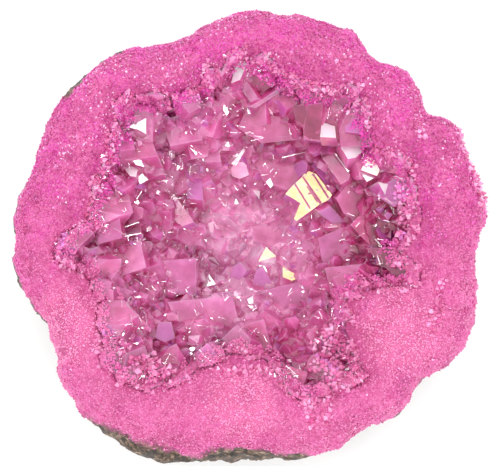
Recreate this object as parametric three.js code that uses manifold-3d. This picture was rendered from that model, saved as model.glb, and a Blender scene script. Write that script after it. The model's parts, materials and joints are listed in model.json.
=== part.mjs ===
// Half of a quartz geode with an aura coating: a rock shell broken open across the middle, and the
// crust of quartz crystals that lines its hollow.
//
// Millimetres, +Z up. The geode lies with its hollow up on the flattened patch of its underside, and
// the origin is in the middle of that patch, under the middle of the outline. +Y is the back.

import * as THREE from 'three';
import { ConvexGeometry } from 'three/addons/geometries/ConvexGeometry.js';
import { mergeVertices } from 'three/addons/utils/BufferGeometryUtils.js';
import Module from 'manifold-3d';

const wasm = await Module();
wasm.setup();

// ---------------------------------------------------------------- driving dimensions

// The widest outline of the shell, seen from above: [degrees from +X, radius], at each lobe and notch.
const OUTLINE = [
  [2, 49.2], [6, 50.2], [12, 48.8], [17, 49.3], [21, 47.3], [26, 49.2], [29, 48.8], [34, 44.8],
  [42, 47.0], [47, 47.3], [54, 45.0], [64, 48.1], [69, 47.3], [76, 47.6], [83, 46.6], [88, 47.5],
  [97, 46.5], [105, 44.4], [114, 44.0], [126, 47.4], [135, 48.4], [151, 48.8], [164, 47.8],
  [170, 49.2], [177, 49.8], [182, 49.2], [189, 50.2], [200, 47.3], [209, 46.9], [218, 50.2],
  [232, 51.8], [243, 51.8], [250, 50.9], [260, 47.6], [268, 46.6], [278, 47.7], [293, 48.3],
  [298, 46.8], [310, 48.5], [314, 48.2], [318, 46.3], [328, 50.0], [336, 50.2], [344, 49.4],
  [350, 47.7], [357, 47.1],
];

// The line where the broken rim ends and the crystals begin: [degrees from +X, radius].
const CRYSTAL_LINE = [
  [0, 36.6], [20, 37.0], [38, 34.4], [51, 38.0], [70, 35.4], [90, 38.2], [103, 36.0], [115, 33.2],
  [125, 36.2], [134, 39.0], [147, 36.4], [160, 35.8], [175, 35.4], [187, 41.4], [196, 37.6],
  [209, 36.4], [224, 40.4], [232, 41.0], [242, 37.4], [252, 30.6], [264, 27.6], [275, 30.0],
  [288, 37.6], [300, 38.2], [308, 39.6], [315, 33.0], [324, 28.6], [333, 29.6], [341, 36.6],
  [352, 35.0],
];

const CREST_HEIGHT = 37.5; // mean height of the rim's crest above the ground
const CREST_WAVES = [
  [1, 65, 1.3], // [waves around the rim, degrees to the first peak, height]: the back stands higher
  [3, 20, 0.9],
  [5, 50, 0.5],
];
const FLOOR_HEIGHT = 9; // lowest point of the hollow in the rock
const WALL_STEEPNESS = 2.5; // power of the hollow's profile: the higher, the flatter its floor
const CREST_PLACE = 0.34; // of the rim's width, from the crystal line
const INNER_DROP = 2.2; // from the crest to the crystal line
const OUTER_DROP = 5.2; // from the crest to the rim's outer edge
const OUTER_ROUNDING = 2.3; // power of the fall to the outer edge
const EDGE_SETBACK = 0.7; // of the rim's outer edge, inside the belly of the shell
const RIND_LEDGES = [
  [235, 14, 1.6], // [degrees from +X, half width in degrees, extra setback] where bare rind shows
  [249, 7, 1.9],
  [272, 13, 1.5],
];
const BELLY_SHARE = 0.8; // height of the belly, of the outer edge's height
const BELLY_STEPS = 2; // rings from the outer edge down to the belly
const FOOT_SHARE = 0.5; // radius of the flat underside patch, of the outline's
const UNDERSIDE_ROUNDNESS = 0.92; // power of the underside's ellipse: below 1 is fuller
const SOFTENING_ANGLES = [-30, -15, 0, 15, 30]; // degrees either side that even out the outline
const LOBES_END = 0.45; // of the way down the underside, where the outline's lobes have evened out
const RIM_PITS = [
  [41.5, -16.5, 3.0, 1.9], // [x, y, radius, depth]: the groove behind the knob at the right
  [-37.5, 21.0, 1.8, 0.7],
  [-34.0, -24.5, 2.4, 0.8],
  [7.0, -38.5, 2.6, 0.9],
  [38.0, 19.0, 2.0, 0.8],
];
const RIM_KNOBS = [
  [32.0, -21.0, 9.0, 1.8], // [x, y, radius, height]: the knob that stands into the hollow
  [17.5, 36.5, 3.4, 1.5],
  [-8.5, 41.0, 2.4, 1.4],
  [43.0, 20.5, 3.2, 1.2],
  [44.5, 12.0, 3.0, 0.9],
  [-12.0, -40.0, 6.0, 1.0],
];
const LUMP_WAVES = [
  [0.31, 0.12, 0.21, 0.4, 0.42], // [wave number along x, y and z, phase, share of the lumps' height]
  [-0.14, 0.34, 0.17, 1.9, 0.38],
  [0.52, 0.47, -0.38, 3.1, 0.26],
  [0.71, -0.58, 0.44, 5.0, 0.2],
  [-0.93, -0.81, 0.76, 2.2, 0.13],
];
const RIM_LUMPS = 0.75; // height of the lumps on the rim
const RIND_LUMPS = 1.9; // height of the lumps on the rind

// Crystal crust
const SEAT_GAP = 0.35; // between the crust and the rock it grew on
const CRUST_THICKNESS = 3.2; // of the crust's massive foot, at the bottom of the hollow
const CRUST_LIP = 0.7; // thickness of the foot where it ends at the crystal line
const CRUST_REACH = 1.015; // how far the foot reaches, of the crystal line's radius
const ROOT_RATIO = 1.2; // of a crystal's root under the crust's face, of its half width
const RHOMB_TILT = 51.8; // degrees of a tip face's normal from the crystal's axis
const PRISM_SIDES = 6;
const PRISM_SIDE_DISTANCE = [0.86, 1.08]; // of a prism face from the axis, of the half width
const FULL_TIP_FACES = 6; // three large and three small
const PLAIN_TIP_FACES = 3; // only the large ones, on the small crystals
const LARGE_SETBACK = [0, 0.14]; // of a large tip face from the apex, of the half width
const SMALL_SETBACK = [0.12, 0.5]; // of a small tip face from the apex, of the half width
const UPRIGHT_PULL = 0.3; // how far a crystal leans from the wall's normal towards straight up

// Crystals that stand out: [x, y, half width, length above the crust, lean, lean direction, spin].
// The angles are in degrees: lean from straight up, direction from +X.
const LARGE_CRYSTALS = [
  [14.5, 9.5, 5.2, 8.3, 56, 222, 8], [24.2, 14.9, 3.4, 5.3, 48, 250, 40],
  [-2.1, 15.3, 4.8, 7.5, 10, 100, 12], [1.5, 29, 5.9, 7.3, 49, 290, 30],
  [14.3, 26.5, 4.3, 7, 52, 268, 0], [-23.4, 24, 4.4, 6.5, 57, 300, 25],
  [-30, 5, 6.4, 6.1, 52, 350, 18], [-37.2, -1.6, 3.9, 4.9, 64, 10, 50],
  [-32, -7.5, 4.8, 5.7, 56, 20, 5], [-10.5, -19.5, 8, 8.2, 16, 60, 22],
  [-19, -18, 4.8, 7, 44, 160, 35], [-2.4, -12.8, 5, 7, 30, 330, 10],
  [2.4, -4.2, 3.9, 6.5, 22, 80, 44], [8.6, -7.6, 4.3, 6.1, 26, 20, 15],
  [11, -0.6, 6.2, 7, 20, 300, 48], [19.5, 3.6, 5.2, 6.5, 36, 200, 28],
  [26, 1.8, 5.7, 6.1, 44, 175, 3], [27, -9.5, 5.2, 5.7, 48, 150, 20],
  [16.8, -6.6, 5.5, 6.5, 18, 230, 38], [-8.6, 25.4, 5.2, 6.5, 45, 280, 9],
  [-12.6, 11.8, 5.4, 7.8, 30, 5, 33], [-14.9, 2, 4.8, 6.5, 20, 240, 17],
  [-6, 4.4, 4.3, 6.1, 24, 140, 52], [-21.5, -7.4, 5.9, 6.5, 22, 30, 13],
  [-26, -28.4, 4.6, 6.1, 66, 45, 26], [-28.8, -19.6, 4.8, 6.1, 60, 15, 41],
  [-16.6, -28.2, 4.1, 5.7, 56, 80, 7], [3, -19.6, 6.2, 7, 30, 95, 36],
  [16.5, -19.5, 5, 6.1, 43, 130, 19], [14.4, -30.6, 5, 5.7, 58, 105, 31],
  [21.8, 22.6, 5.5, 6.5, 53, 235, 46], [30.6, 9.2, 4.3, 5.3, 54, 200, 11],
  [-22.4, 15, 4.8, 6.5, 45, 330, 29], [6.4, 19.6, 5, 6.5, 30, 310, 2],
];
const SMALL_CRYSTALS = 84; // tried between the large ones
const SMALL_REACH = 0.93; // how far out they grow, of the crystal line's radius
const SMALL_HALF_WIDTH = [2.1, 3.8];
const SMALL_LENGTH_RATIO = [1.3, 2.0]; // length above the crust, of the half width
const SMALL_LEAN = 0.5; // most sideways lean, added to the wall's normal
const SLOPE_STEP = 0.5; // either side of a point, to measure the crust's slope there
const CROWDING = 0.58; // closest spacing of two crystals, of the sum of their half widths
const GOLDEN_ANGLE = 137.508; // degrees from one small crystal to the next, which spreads them evenly
const CRYSTAL_SEED = 20617;

// Facets
const STEPS_AROUND = 96;
const HOLLOW_RINGS = [0.3, 0.55, 0.76, 0.91, 1]; // of the crystal line's radius
const RIM_RINGS = [0.13, 0.34, 0.56, 0.8, 1]; // of the rim's width
const UNDERSIDE_RINGS = 6;
const CRUST_STEPS_AROUND = 36;
const CRUST_RINGS = [0.35, 0.65, 0.85, CRUST_REACH];
const CUTTER_TOP = 70; // height of the cutting solid, above every crystal
const MERGE_DISTANCE = 1e-5; // points closer than this are one corner
const CORNER_TOLERANCE = 1e-6; // of a crystal's corner from its faces

// ---------------------------------------------------------------- helpers

const FULL_TURN = 360;
const toRadians = THREE.MathUtils.degToRad;

/** Numbers from 0 to 1 that are the same on every run. */
function randomStream(seed) {
  const multiplier = 16807;
  const modulus = 2147483647;
  let state = seed;
  return () => {
    state = (state * multiplier) % modulus;
    return state / modulus;
  };
}

/** The same direction as an angle from 0 to 360. */
function wrapped(degrees) {
  return ((degrees % FULL_TURN) + FULL_TURN) % FULL_TURN;
}

/** Smooth closed interpolation between the [degrees, value] pairs of a table. */
function around(table, degrees) {
  const angle = wrapped(degrees);
  const count = table.length;
  const entry = (i) => {
    const turns = Math.floor(i / count);
    const [a, value] = table[i - turns * count];
    return [a + turns * FULL_TURN, value];
  };
  let i = table.findLastIndex(([a]) => a <= angle);
  const [[a0, v0], [a1, v1], [a2, v2], [a3, v3]] = [entry(i - 1), entry(i), entry(i + 1), entry(i + 2)];
  const span = a2 - a1;
  const t = (angle - a1) / span;
  const slope1 = ((v2 - v0) / (a2 - a0)) * span;
  const slope2 = ((v3 - v1) / (a3 - a1)) * span;
  const t2 = t * t;
  const t3 = t2 * t;
  return (
    (2 * t3 - 3 * t2 + 1) * v1 + (t3 - 2 * t2 + t) * slope1 + (3 * t2 - 2 * t3) * v2 + (t3 - t2) * slope2
  );
}

/** A smooth bump: 1 in the middle, 0 from distance 1 on. */
function bump(distance) {
  const inside = Math.max(0, 1 - distance * distance);
  return inside * inside;
}

/** Irregular lumps of a broken or weathered rock face, about -1 to 1. */
function lumps(x, y, z) {
  return LUMP_WAVES.reduce((sum, [kx, ky, kz, phase, share]) => {
    const across = Math.sin(kx * x + phase) * Math.cos(ky * y - phase);
    return sum + share * (across + Math.sin(kz * z + ky * x));
  }, 0);
}

function polar(radius, degrees, z) {
  const angle = toRadians(degrees);
  return new THREE.Vector3(radius * Math.cos(angle), radius * Math.sin(angle), z);
}

// ---------------------------------------------------------------- the shell's surfaces

function crestHeight(degrees) {
  return CREST_WAVES.reduce((height, [waves, peak, rise]) => {
    return height + rise * Math.cos(toRadians(waves * (degrees - peak)));
  }, CREST_HEIGHT);
}

function edgeRadius(degrees) {
  return RIND_LEDGES.reduce((radius, [middle, halfWidth, setback]) => {
    const away = Math.min(wrapped(degrees - middle), wrapped(middle - degrees));
    return radius - setback * bump(away / halfWidth);
  }, around(OUTLINE, degrees) - EDGE_SETBACK);
}

/** Relief of the rim: its lumps, knobs and pits. */
function rimRelief(x, y) {
  const knobs = RIM_KNOBS.reduce((sum, [kx, ky, radius, height]) => {
    return sum + height * bump(Math.hypot(x - kx, y - ky) / radius);
  }, 0);
  const pits = RIM_PITS.reduce((sum, [px, py, radius, depth]) => {
    return sum + depth * bump(Math.hypot(x - px, y - py) / radius);
  }, 0);
  return RIM_LUMPS * lumps(x, y, 0) + knobs - pits;
}

/** A point of the hollow's wall: share 0 is the middle of the floor, 1 the crystal line. */
function hollowPoint(degrees, share) {
  const edge = polar(around(CRYSTAL_LINE, degrees), degrees, 0);
  const edgeHeight = crestHeight(degrees) - INNER_DROP + rimRelief(edge.x, edge.y);
  const z = FLOOR_HEIGHT + (edgeHeight - FLOOR_HEIGHT) * share ** WALL_STEEPNESS;
  return edge.multiplyScalar(share).setZ(z);
}

/** A point of the rim: share 0 is the crystal line, 1 the outer edge. */
function rimPoint(degrees, share) {
  const inner = around(CRYSTAL_LINE, degrees);
  const point = polar(inner + share * (edgeRadius(degrees) - inner), degrees, 0);
  const drop =
    share < CREST_PLACE
      ? INNER_DROP * (1 - share / CREST_PLACE) ** 2
      : OUTER_DROP * ((share - CREST_PLACE) / (1 - CREST_PLACE)) ** OUTER_ROUNDING;
  return point.setZ(crestHeight(degrees) - drop + rimRelief(point.x, point.y));
}

/** The outline with its lobes and notches evened out, as the nodule is lower down. */
function softOutline(degrees) {
  const samples = SOFTENING_ANGLES.map((away) => around(OUTLINE, degrees + away));
  return samples.reduce((sum, radius) => sum + radius, 0) / samples.length;
}

/** A point between the rim's outer edge (share 0) and the belly (share 1), where the shell is widest. */
function shoulderPoint(degrees, share) {
  const edge = rimPoint(degrees, 1);
  const radius = THREE.MathUtils.lerp(edgeRadius(degrees), around(OUTLINE, degrees), Math.sqrt(share));
  return polar(radius, degrees, edge.z * THREE.MathUtils.lerp(1, BELLY_SHARE, share));
}

/** A point of the underside: share 0 is the belly, 1 the rim of the flat patch. */
function undersidePoint(degrees, share) {
  const evened = THREE.MathUtils.smoothstep(share, 0, LOBES_END);
  const belly = THREE.MathUtils.lerp(around(OUTLINE, degrees), softOutline(degrees), evened);
  const foot = FOOT_SHARE * softOutline(degrees);
  const angle = (share * Math.PI) / 2;
  const height = shoulderPoint(degrees, 1).z;
  const radius = foot + (belly - foot) * Math.max(0, Math.cos(angle)) ** UNDERSIDE_ROUNDNESS;
  const z = height * (1 - Math.sin(angle) ** UNDERSIDE_ROUNDNESS);
  const point = polar(radius, degrees, z);
  const lump = RIND_LUMPS * lumps(point.x, point.y, z) * evened;
  return polar(radius + lump, degrees, z);
}

const angles = (count) => Array.from({ length: count }, (_, i) => (i * FULL_TURN) / count);
const ringOf = (pointAt, share, count) => angles(count).map((degrees) => pointAt(degrees, share));

// ---------------------------------------------------------------- solids

/** A closed geometry: rings of points from the middle of the top outwards, down, and back to the foot. */
function geometryFromRings(top, rings, bottom) {
  const count = rings[0].length;
  const points = [top, ...rings.flat(), bottom];
  const first = (ring) => 1 + ring * count;
  const indices = [];
  for (let i = 0; i < count; i += 1) {
    const next = (i + 1) % count;
    indices.push(0, first(0) + i, first(0) + next);
    for (let ring = 1; ring < rings.length; ring += 1) {
      const [a, b] = [first(ring - 1) + i, first(ring - 1) + next];
      const [c, d] = [first(ring) + i, first(ring) + next];
      indices.push(a, c, d, a, d, b);
    }
    indices.push(first(rings.length - 1) + i, points.length - 1, first(rings.length - 1) + next);
  }
  const geometry = new THREE.BufferGeometry().setFromPoints(points);
  geometry.setIndex(indices);
  return geometry;
}

function toSolid(geometry) {
  const bare = geometry.clone();
  bare.deleteAttribute('normal');
  bare.deleteAttribute('uv');
  const merged = mergeVertices(bare, MERGE_DISTANCE);
  const mesh = new wasm.Mesh({
    numProp: 3,
    vertProperties: new Float32Array(merged.getAttribute('position').array),
    triVerts: new Uint32Array(merged.getIndex().array),
  });
  return new wasm.Manifold(mesh);
}

function toGeometry(solid) {
  const { vertProperties, triVerts } = solid.getMesh();
  const geometry = new THREE.BufferGeometry();
  geometry.setAttribute('position', new THREE.BufferAttribute(vertProperties, 3));
  geometry.setIndex(new THREE.BufferAttribute(triVerts, 1));
  return geometry;
}

/** The rings of the shell's upper face, from the hollow's floor to the rim's outer edge. */
function upperRings() {
  const hollow = HOLLOW_RINGS.map((share) => ringOf(hollowPoint, share, STEPS_AROUND));
  const rim = RIM_RINGS.map((share) => ringOf(rimPoint, share, STEPS_AROUND));
  return [...hollow, ...rim];
}

function shellGeometry() {
  const shoulder = Array.from({ length: BELLY_STEPS }, (_, i) =>
    ringOf(shoulderPoint, (i + 1) / BELLY_STEPS, STEPS_AROUND),
  );
  const underside = Array.from({ length: UNDERSIDE_RINGS }, (_, i) =>
    ringOf(undersidePoint, (i + 1) / UNDERSIDE_RINGS, STEPS_AROUND),
  );
  const top = new THREE.Vector3(0, 0, FLOOR_HEIGHT);
  return geometryFromRings(top, [...upperRings(), ...shoulder, ...underside], new THREE.Vector3());
}

/** All the space above the shell, clear of it by the seat gap. The crust is cut to this. */
function spaceAboveShell() {
  const rings = upperRings();
  const surface = geometryFromRings(
    new THREE.Vector3(0, 0, FLOOR_HEIGHT),
    rings,
    new THREE.Vector3(0, 0, FLOOR_HEIGHT - CUTTER_TOP),
  );
  surface.computeVertexNormals();
  const normals = surface.getAttribute('normal');
  const lifted = rings.map((ring, r) =>
    ring.map((point, i) => {
      const normal = new THREE.Vector3().fromBufferAttribute(normals, 1 + r * STEPS_AROUND + i);
      return point.clone().addScaledVector(normal, SEAT_GAP);
    }),
  );
  lifted.pop(); // the outermost ring's normals lean outwards, so the space ends one ring inside it
  const lid = lifted.at(-1).map((point) => point.clone().setZ(CUTTER_TOP));
  const floor = new THREE.Vector3(0, 0, FLOOR_HEIGHT + SEAT_GAP);
  const flipped = geometryFromRings(floor, [...lifted, lid], new THREE.Vector3(0, 0, CUTTER_TOP));
  flipped.getIndex().array.reverse();
  return toSolid(flipped);
}

/** A point on top of the crust's massive foot. */
function crustPoint(degrees, share) {
  const edge = hollowPoint(degrees, 1);
  const bottom = FLOOR_HEIGHT + CRUST_THICKNESS;
  const z = bottom + (edge.z + CRUST_LIP - bottom) * Math.min(1, share) ** WALL_STEEPNESS;
  return edge.multiplyScalar(share).setZ(z);
}

function crustPointAt(x, y) {
  const degrees = THREE.MathUtils.radToDeg(Math.atan2(y, x));
  return crustPoint(degrees, Math.min(1, Math.hypot(x, y) / around(CRYSTAL_LINE, degrees)));
}

function crustNormalAt(x, y) {
  const riseX = crustPointAt(x + SLOPE_STEP, y).z - crustPointAt(x - SLOPE_STEP, y).z;
  const riseY = crustPointAt(x, y + SLOPE_STEP).z - crustPointAt(x, y - SLOPE_STEP).z;
  return new THREE.Vector3(-riseX, -riseY, 2 * SLOPE_STEP).normalize();
}

function crustFoot() {
  const rings = CRUST_RINGS.map((share) => ringOf(crustPoint, share, CRUST_STEPS_AROUND));
  const skirt = rings.at(-1).map((point) => point.clone().setZ(0));
  const top = new THREE.Vector3(0, 0, FLOOR_HEIGHT + CRUST_THICKNESS);
  return toSolid(geometryFromRings(top, [...rings, skirt], new THREE.Vector3()));
}

/** The corners of the space inside all of the planes, each [normal, distance]. */
function cornersInside(planes) {
  const corners = [];
  const matrix = new THREE.Matrix3();
  planes.forEach(([n1, d1], i) => {
    planes.slice(i + 1).forEach(([n2, d2], j) => {
      planes.slice(i + j + 2).forEach(([n3, d3]) => {
        matrix.set(n1.x, n1.y, n1.z, n2.x, n2.y, n2.z, n3.x, n3.y, n3.z);
        if (Math.abs(matrix.determinant()) < CORNER_TOLERANCE) return;
        const corner = new THREE.Vector3(d1, d2, d3).applyMatrix3(matrix.invert());
        const inside = planes.every(([n, d]) => n.dot(corner) <= d + CORNER_TOLERANCE);
        if (inside) corners.push(corner);
      });
    });
  });
  return corners;
}

/**
 * A quartz crystal along +Z with its root below 0 and its tip at the given length: a six-sided prism
 * under three large tip faces and, where tipFaces is six, three small ones between them. All are a
 * little uneven, as crowded crystals grow.
 */
function crystalGeometry(halfWidth, length, tipFaces, random) {
  const tilt = toRadians(RHOMB_TILT);
  const rootDepth = halfWidth * ROOT_RATIO + CRUST_THICKNESS;
  const planes = [[new THREE.Vector3(0, 0, -1), rootDepth]];
  for (let side = 0; side < PRISM_SIDES; side += 1) {
    const direction = polar(1, (side * FULL_TURN) / PRISM_SIDES, 0);
    planes.push([direction, halfWidth * THREE.MathUtils.lerp(...PRISM_SIDE_DISTANCE, random())]);
    const tipFace = direction.clone().multiplyScalar(Math.sin(tilt)).setZ(Math.cos(tilt));
    const large = side % 2 === 0;
    const setback = THREE.MathUtils.lerp(...(large ? LARGE_SETBACK : SMALL_SETBACK), random());
    if (large || tipFaces === FULL_TIP_FACES) {
      planes.push([tipFace, length * Math.cos(tilt) + setback * halfWidth]);
    }
  }
  return new ConvexGeometry(cornersInside(planes));
}

/** A crystal that points along direction, with its root in the crust under x and y. */
function plantCrystal({ x, y, halfWidth, length, tipFaces, direction, spin }, random) {
  const crystal = crystalGeometry(halfWidth, length, tipFaces, random);
  crystal.rotateZ(toRadians(spin));
  crystal.applyQuaternion(
    new THREE.Quaternion().setFromUnitVectors(new THREE.Vector3(0, 0, 1), direction),
  );
  const root = crustPointAt(x, y);
  crystal.translate(x, y, root.z);
  return toSolid(crystal);
}

/** The large crystals, then small ones in the places that they leave. */
function crystalSolids() {
  const random = randomStream(CRYSTAL_SEED);
  const placed = LARGE_CRYSTALS.map(([x, y, halfWidth, length, lean, towards, spin]) => {
    const direction = polar(Math.sin(toRadians(lean)), towards, Math.cos(toRadians(lean)));
    return { x, y, halfWidth, length, tipFaces: FULL_TIP_FACES, direction, spin };
  });
  for (let i = 0; i < SMALL_CRYSTALS; i += 1) {
    const degrees = i * GOLDEN_ANGLE;
    const share = Math.sqrt((i + 0.5) / SMALL_CRYSTALS);
    const { x, y } = polar(share * SMALL_REACH * around(CRYSTAL_LINE, degrees), degrees, 0);
    const halfWidth = THREE.MathUtils.lerp(...SMALL_HALF_WIDTH, random() ** 2);
    const length = halfWidth * THREE.MathUtils.lerp(...SMALL_LENGTH_RATIO, random());
    const lean = polar(SMALL_LEAN * random(), FULL_TURN * random(), UPRIGHT_PULL);
    const spin = FULL_TURN * random();
    const direction = crustNormalAt(x, y).add(lean).normalize();
    const crowded = placed.some(
      (other) => Math.hypot(x - other.x, y - other.y) < CROWDING * (halfWidth + other.halfWidth),
    );
    if (!crowded) placed.push({ x, y, halfWidth, length, tipFaces: PLAIN_TIP_FACES, direction, spin });
  }
  return placed.map((crystal) => plantCrystal(crystal, random));
}

/** The crystals and their massive foot as one solid, seated in the hollow. */
function crustGeometry() {
  const grown = crystalSolids().reduce((solid, crystal) => solid.add(crystal), crustFoot());
  const seated = grown.intersect(spaceAboveShell());
  const pieces = seated.decompose().sort((a, b) => b.volume() - a.volume());
  return toGeometry(pieces[0]);
}

// ---------------------------------------------------------------- the object

function part(name, geometry, finish) {
  const mesh = new THREE.Mesh(geometry, new THREE.MeshStandardMaterial(finish));
  mesh.name = name;
  return mesh;
}

const geode = new THREE.Group();
geode.add(part('geode_shell', shellGeometry(), { color: 0xe565ac, roughness: 0.6, metalness: 0 }));
geode.add(part('crystal_crust', crustGeometry(), { color: 0xcf74a6, roughness: 0.12, metalness: 0 }));

export default geode;
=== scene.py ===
"""Half of an aura-coated quartz geode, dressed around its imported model.

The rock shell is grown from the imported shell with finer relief, sugar-like druse covers its broken rim,
and the hollow holds one crust of translucent quartz crystals. All lengths are in metres.
"""

from __future__ import annotations

import json
import logging
import math
from dataclasses import dataclass, field
from enum import Enum
from functools import partial
from typing import Any

import bmesh
import bpy
import numpy as np
from bmesh.types import BMEdge, BMVert, BMesh
from bpy.types import Material, Mesh, Node, NodeOutputs, NodeSocket, NodeTree, Object
from mathutils import Matrix, Quaternion, Vector
from mathutils.bvhtree import BVHTree

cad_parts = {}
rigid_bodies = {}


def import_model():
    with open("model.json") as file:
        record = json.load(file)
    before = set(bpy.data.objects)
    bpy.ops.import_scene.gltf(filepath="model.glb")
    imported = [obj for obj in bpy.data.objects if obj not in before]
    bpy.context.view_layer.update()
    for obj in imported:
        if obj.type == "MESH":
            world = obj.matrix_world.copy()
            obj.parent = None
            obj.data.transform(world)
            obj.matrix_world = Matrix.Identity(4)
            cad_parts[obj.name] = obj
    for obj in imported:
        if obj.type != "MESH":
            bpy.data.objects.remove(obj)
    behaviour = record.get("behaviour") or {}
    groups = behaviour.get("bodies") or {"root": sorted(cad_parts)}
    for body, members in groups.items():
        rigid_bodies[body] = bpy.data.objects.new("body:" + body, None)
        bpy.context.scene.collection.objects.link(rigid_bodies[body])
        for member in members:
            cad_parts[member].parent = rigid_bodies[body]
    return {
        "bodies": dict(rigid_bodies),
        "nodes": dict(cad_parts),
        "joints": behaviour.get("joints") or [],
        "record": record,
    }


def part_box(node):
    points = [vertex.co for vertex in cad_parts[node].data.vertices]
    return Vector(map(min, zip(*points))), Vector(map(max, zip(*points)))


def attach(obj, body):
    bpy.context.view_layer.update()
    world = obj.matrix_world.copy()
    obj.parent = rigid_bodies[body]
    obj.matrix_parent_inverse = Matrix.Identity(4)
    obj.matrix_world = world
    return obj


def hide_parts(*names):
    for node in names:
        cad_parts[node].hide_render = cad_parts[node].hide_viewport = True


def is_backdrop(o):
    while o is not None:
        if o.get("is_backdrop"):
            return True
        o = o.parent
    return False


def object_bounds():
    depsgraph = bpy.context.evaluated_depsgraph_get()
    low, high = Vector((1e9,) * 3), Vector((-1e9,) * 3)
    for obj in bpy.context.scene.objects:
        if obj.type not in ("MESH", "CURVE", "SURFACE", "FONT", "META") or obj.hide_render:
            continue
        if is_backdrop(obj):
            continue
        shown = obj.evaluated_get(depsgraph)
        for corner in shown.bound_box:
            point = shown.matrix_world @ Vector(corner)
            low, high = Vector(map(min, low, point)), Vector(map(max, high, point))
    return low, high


LOG = logging.getLogger("geode")

MM = 0.001
IMAGE_WIDTH = 497  # pixels
UP = Vector((0, 0, 1))
DOWN = Vector((0, 0, -1))
ABOVE_ALL = 1.0  # height from which rays are cast down at the geode
WELD = 0.001 * MM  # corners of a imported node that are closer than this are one
CUT_SLACK = 0.0001 * MM  # corners closer than this to a cleaving plane lie on it
QUARTZ_IOR = 1.544
RIM_SHARE = 0.9  # the height of the rim's broad top, of the geode's

Stops = tuple[tuple[float, str], ...]  # the places from 0 to 1 and the hex colours of a colour ramp
Sizes = dict[str, tuple[str, Any]]  # for each input of a tree, the end of its socket type and its value
Grown = tuple[Vector, float, BMesh]  # a crystal's middle, radius and closed mesh


# ---------------------------------------------------------------- helpers


class Channel(str, Enum):
    """Names of the attributes that the materials read."""

    CRYSTAL_DISTANCE = "crystal_distance"
    COATING = "coating"
    GRAIN_TONE = "grain_tone"
    FACET_TONE = "facet_tone"
    FACET_CLEAR = "facet_clear"
    FACET_VIOLET = "facet_violet"
    FACET_GOLD = "facet_gold"
    FACET_ETCH = "facet_etch"
    FACET_LINES = "facet_lines"


def linear(hex_colour: str) -> tuple[float, float, float, float]:
    """Turn an sRGB colour into a linear one.

    Args:
        hex_colour: its red, green and blue, such as "F06CB4".

    Returns:
        Linear red, green and blue, and an alpha of 1.
    """
    channels = [int(hex_colour[i : i + 2], 16) / 255 for i in (0, 2, 4)]
    red, green, blue = (c / 12.92 if c <= 0.04045 else ((c + 0.055) / 1.055) ** 2.4 for c in channels)
    return red, green, blue, 1.0


def connect(tree: NodeTree, node: Node, inputs: dict[Any, Any]) -> None:
    """Set or link a node's inputs.

    Args:
        tree: the node's tree.
        node: the node.
        inputs: a value, an output socket or a node (its first output) for each input, by name or number.
    """
    for key, value in inputs.items():
        source = value.outputs[0] if isinstance(value, Node) else value
        if isinstance(source, NodeSocket):
            tree.links.new(source, node.inputs[key])
        else:
            node.inputs[key].default_value = source


def add_node(
    tree: NodeTree, kind: str, inputs: dict[Any, Any] | None = None, stops: Stops = (), **settings: Any
) -> Node:
    """Add a node with its settings, input values and links.

    Args:
        tree: the node tree to add to.
        kind: the node's type name.
        inputs: what its inputs are connected to.
        stops: a colour ramp's places and colours.
        **settings: the node's own properties.

    Returns:
        The new node.
    """
    made = tree.nodes.new(kind)
    for name, value in settings.items():
        setattr(made, name, value)
    connect(tree, made, inputs or {})
    if stops:
        elements = made.color_ramp.elements
        while len(elements) < len(stops):
            elements.new(1.0)
        for element, (position, hex_colour) in zip(elements, stops, strict=True):
            element.position, element.color = position, linear(hex_colour)
    return made


def new_material(name: str) -> tuple[Material, NodeTree, Node]:
    """Start a material.

    Args:
        name: the material's name.

    Returns:
        The material, its node tree and its shader node.
    """
    made = bpy.data.materials.new(name)
    made.use_nodes = True
    return made, made.node_tree, made.node_tree.nodes["Principled BSDF"]


def new_tree(name: str, sizes: Sizes) -> tuple[NodeTree, NodeOutputs]:
    """Start a geometry node tree with a mesh input and named inputs for its sizes.

    Args:
        name: the tree's name.
        sizes: its further inputs.

    Returns:
        The tree and the sockets of its inputs.
    """
    tree = bpy.data.node_groups.new(name, "GeometryNodeTree")
    tree.interface.new_socket("Mesh", in_out="INPUT", socket_type="NodeSocketGeometry")
    for label, (kind, _) in sizes.items():
        tree.interface.new_socket(label, in_out="INPUT", socket_type=f"NodeSocket{kind}")
    tree.interface.new_socket("Mesh", in_out="OUTPUT", socket_type="NodeSocketGeometry")
    return tree, tree.nodes.new("NodeGroupInput").outputs


def grow(name: str, mesh: Mesh, tree: NodeTree, sizes: Sizes) -> Object:
    """Run a node tree on a mesh and keep the result as a plain mesh object at the origin.

    Args:
        name: the new object's name.
        mesh: the mesh that the tree starts from.
        tree: the geometry node tree.
        sizes: its named inputs.

    Returns:
        The object, with no modifier left on it.
    """
    made = bpy.data.objects.new(name, mesh)
    bpy.context.scene.collection.objects.link(made)
    modifier = made.modifiers.new(tree.name, "NODES")
    modifier.node_group = tree
    sockets = {s.name: s.identifier for s in tree.interface.items_tree if s.in_out == "INPUT"}
    for label, (_, value) in sizes.items():
        modifier[sockets[label]] = value
    depsgraph = bpy.context.evaluated_depsgraph_get()
    plain = bpy.data.meshes.new_from_object(
        made.evaluated_get(depsgraph), preserve_all_data_layers=True, depsgraph=depsgraph
    )
    made.modifiers.remove(modifier)
    plain.name = name
    made.data = plain
    return made


def merged_copy(node: Object) -> BMesh:
    """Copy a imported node's loose triangles as one connected mesh.

    Args:
        node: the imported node.

    Returns:
        The copy.
    """
    copy = bmesh.new()
    copy.from_mesh(node.data)
    bmesh.ops.remove_doubles(copy, verts=copy.verts, dist=WELD)
    return copy


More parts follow.
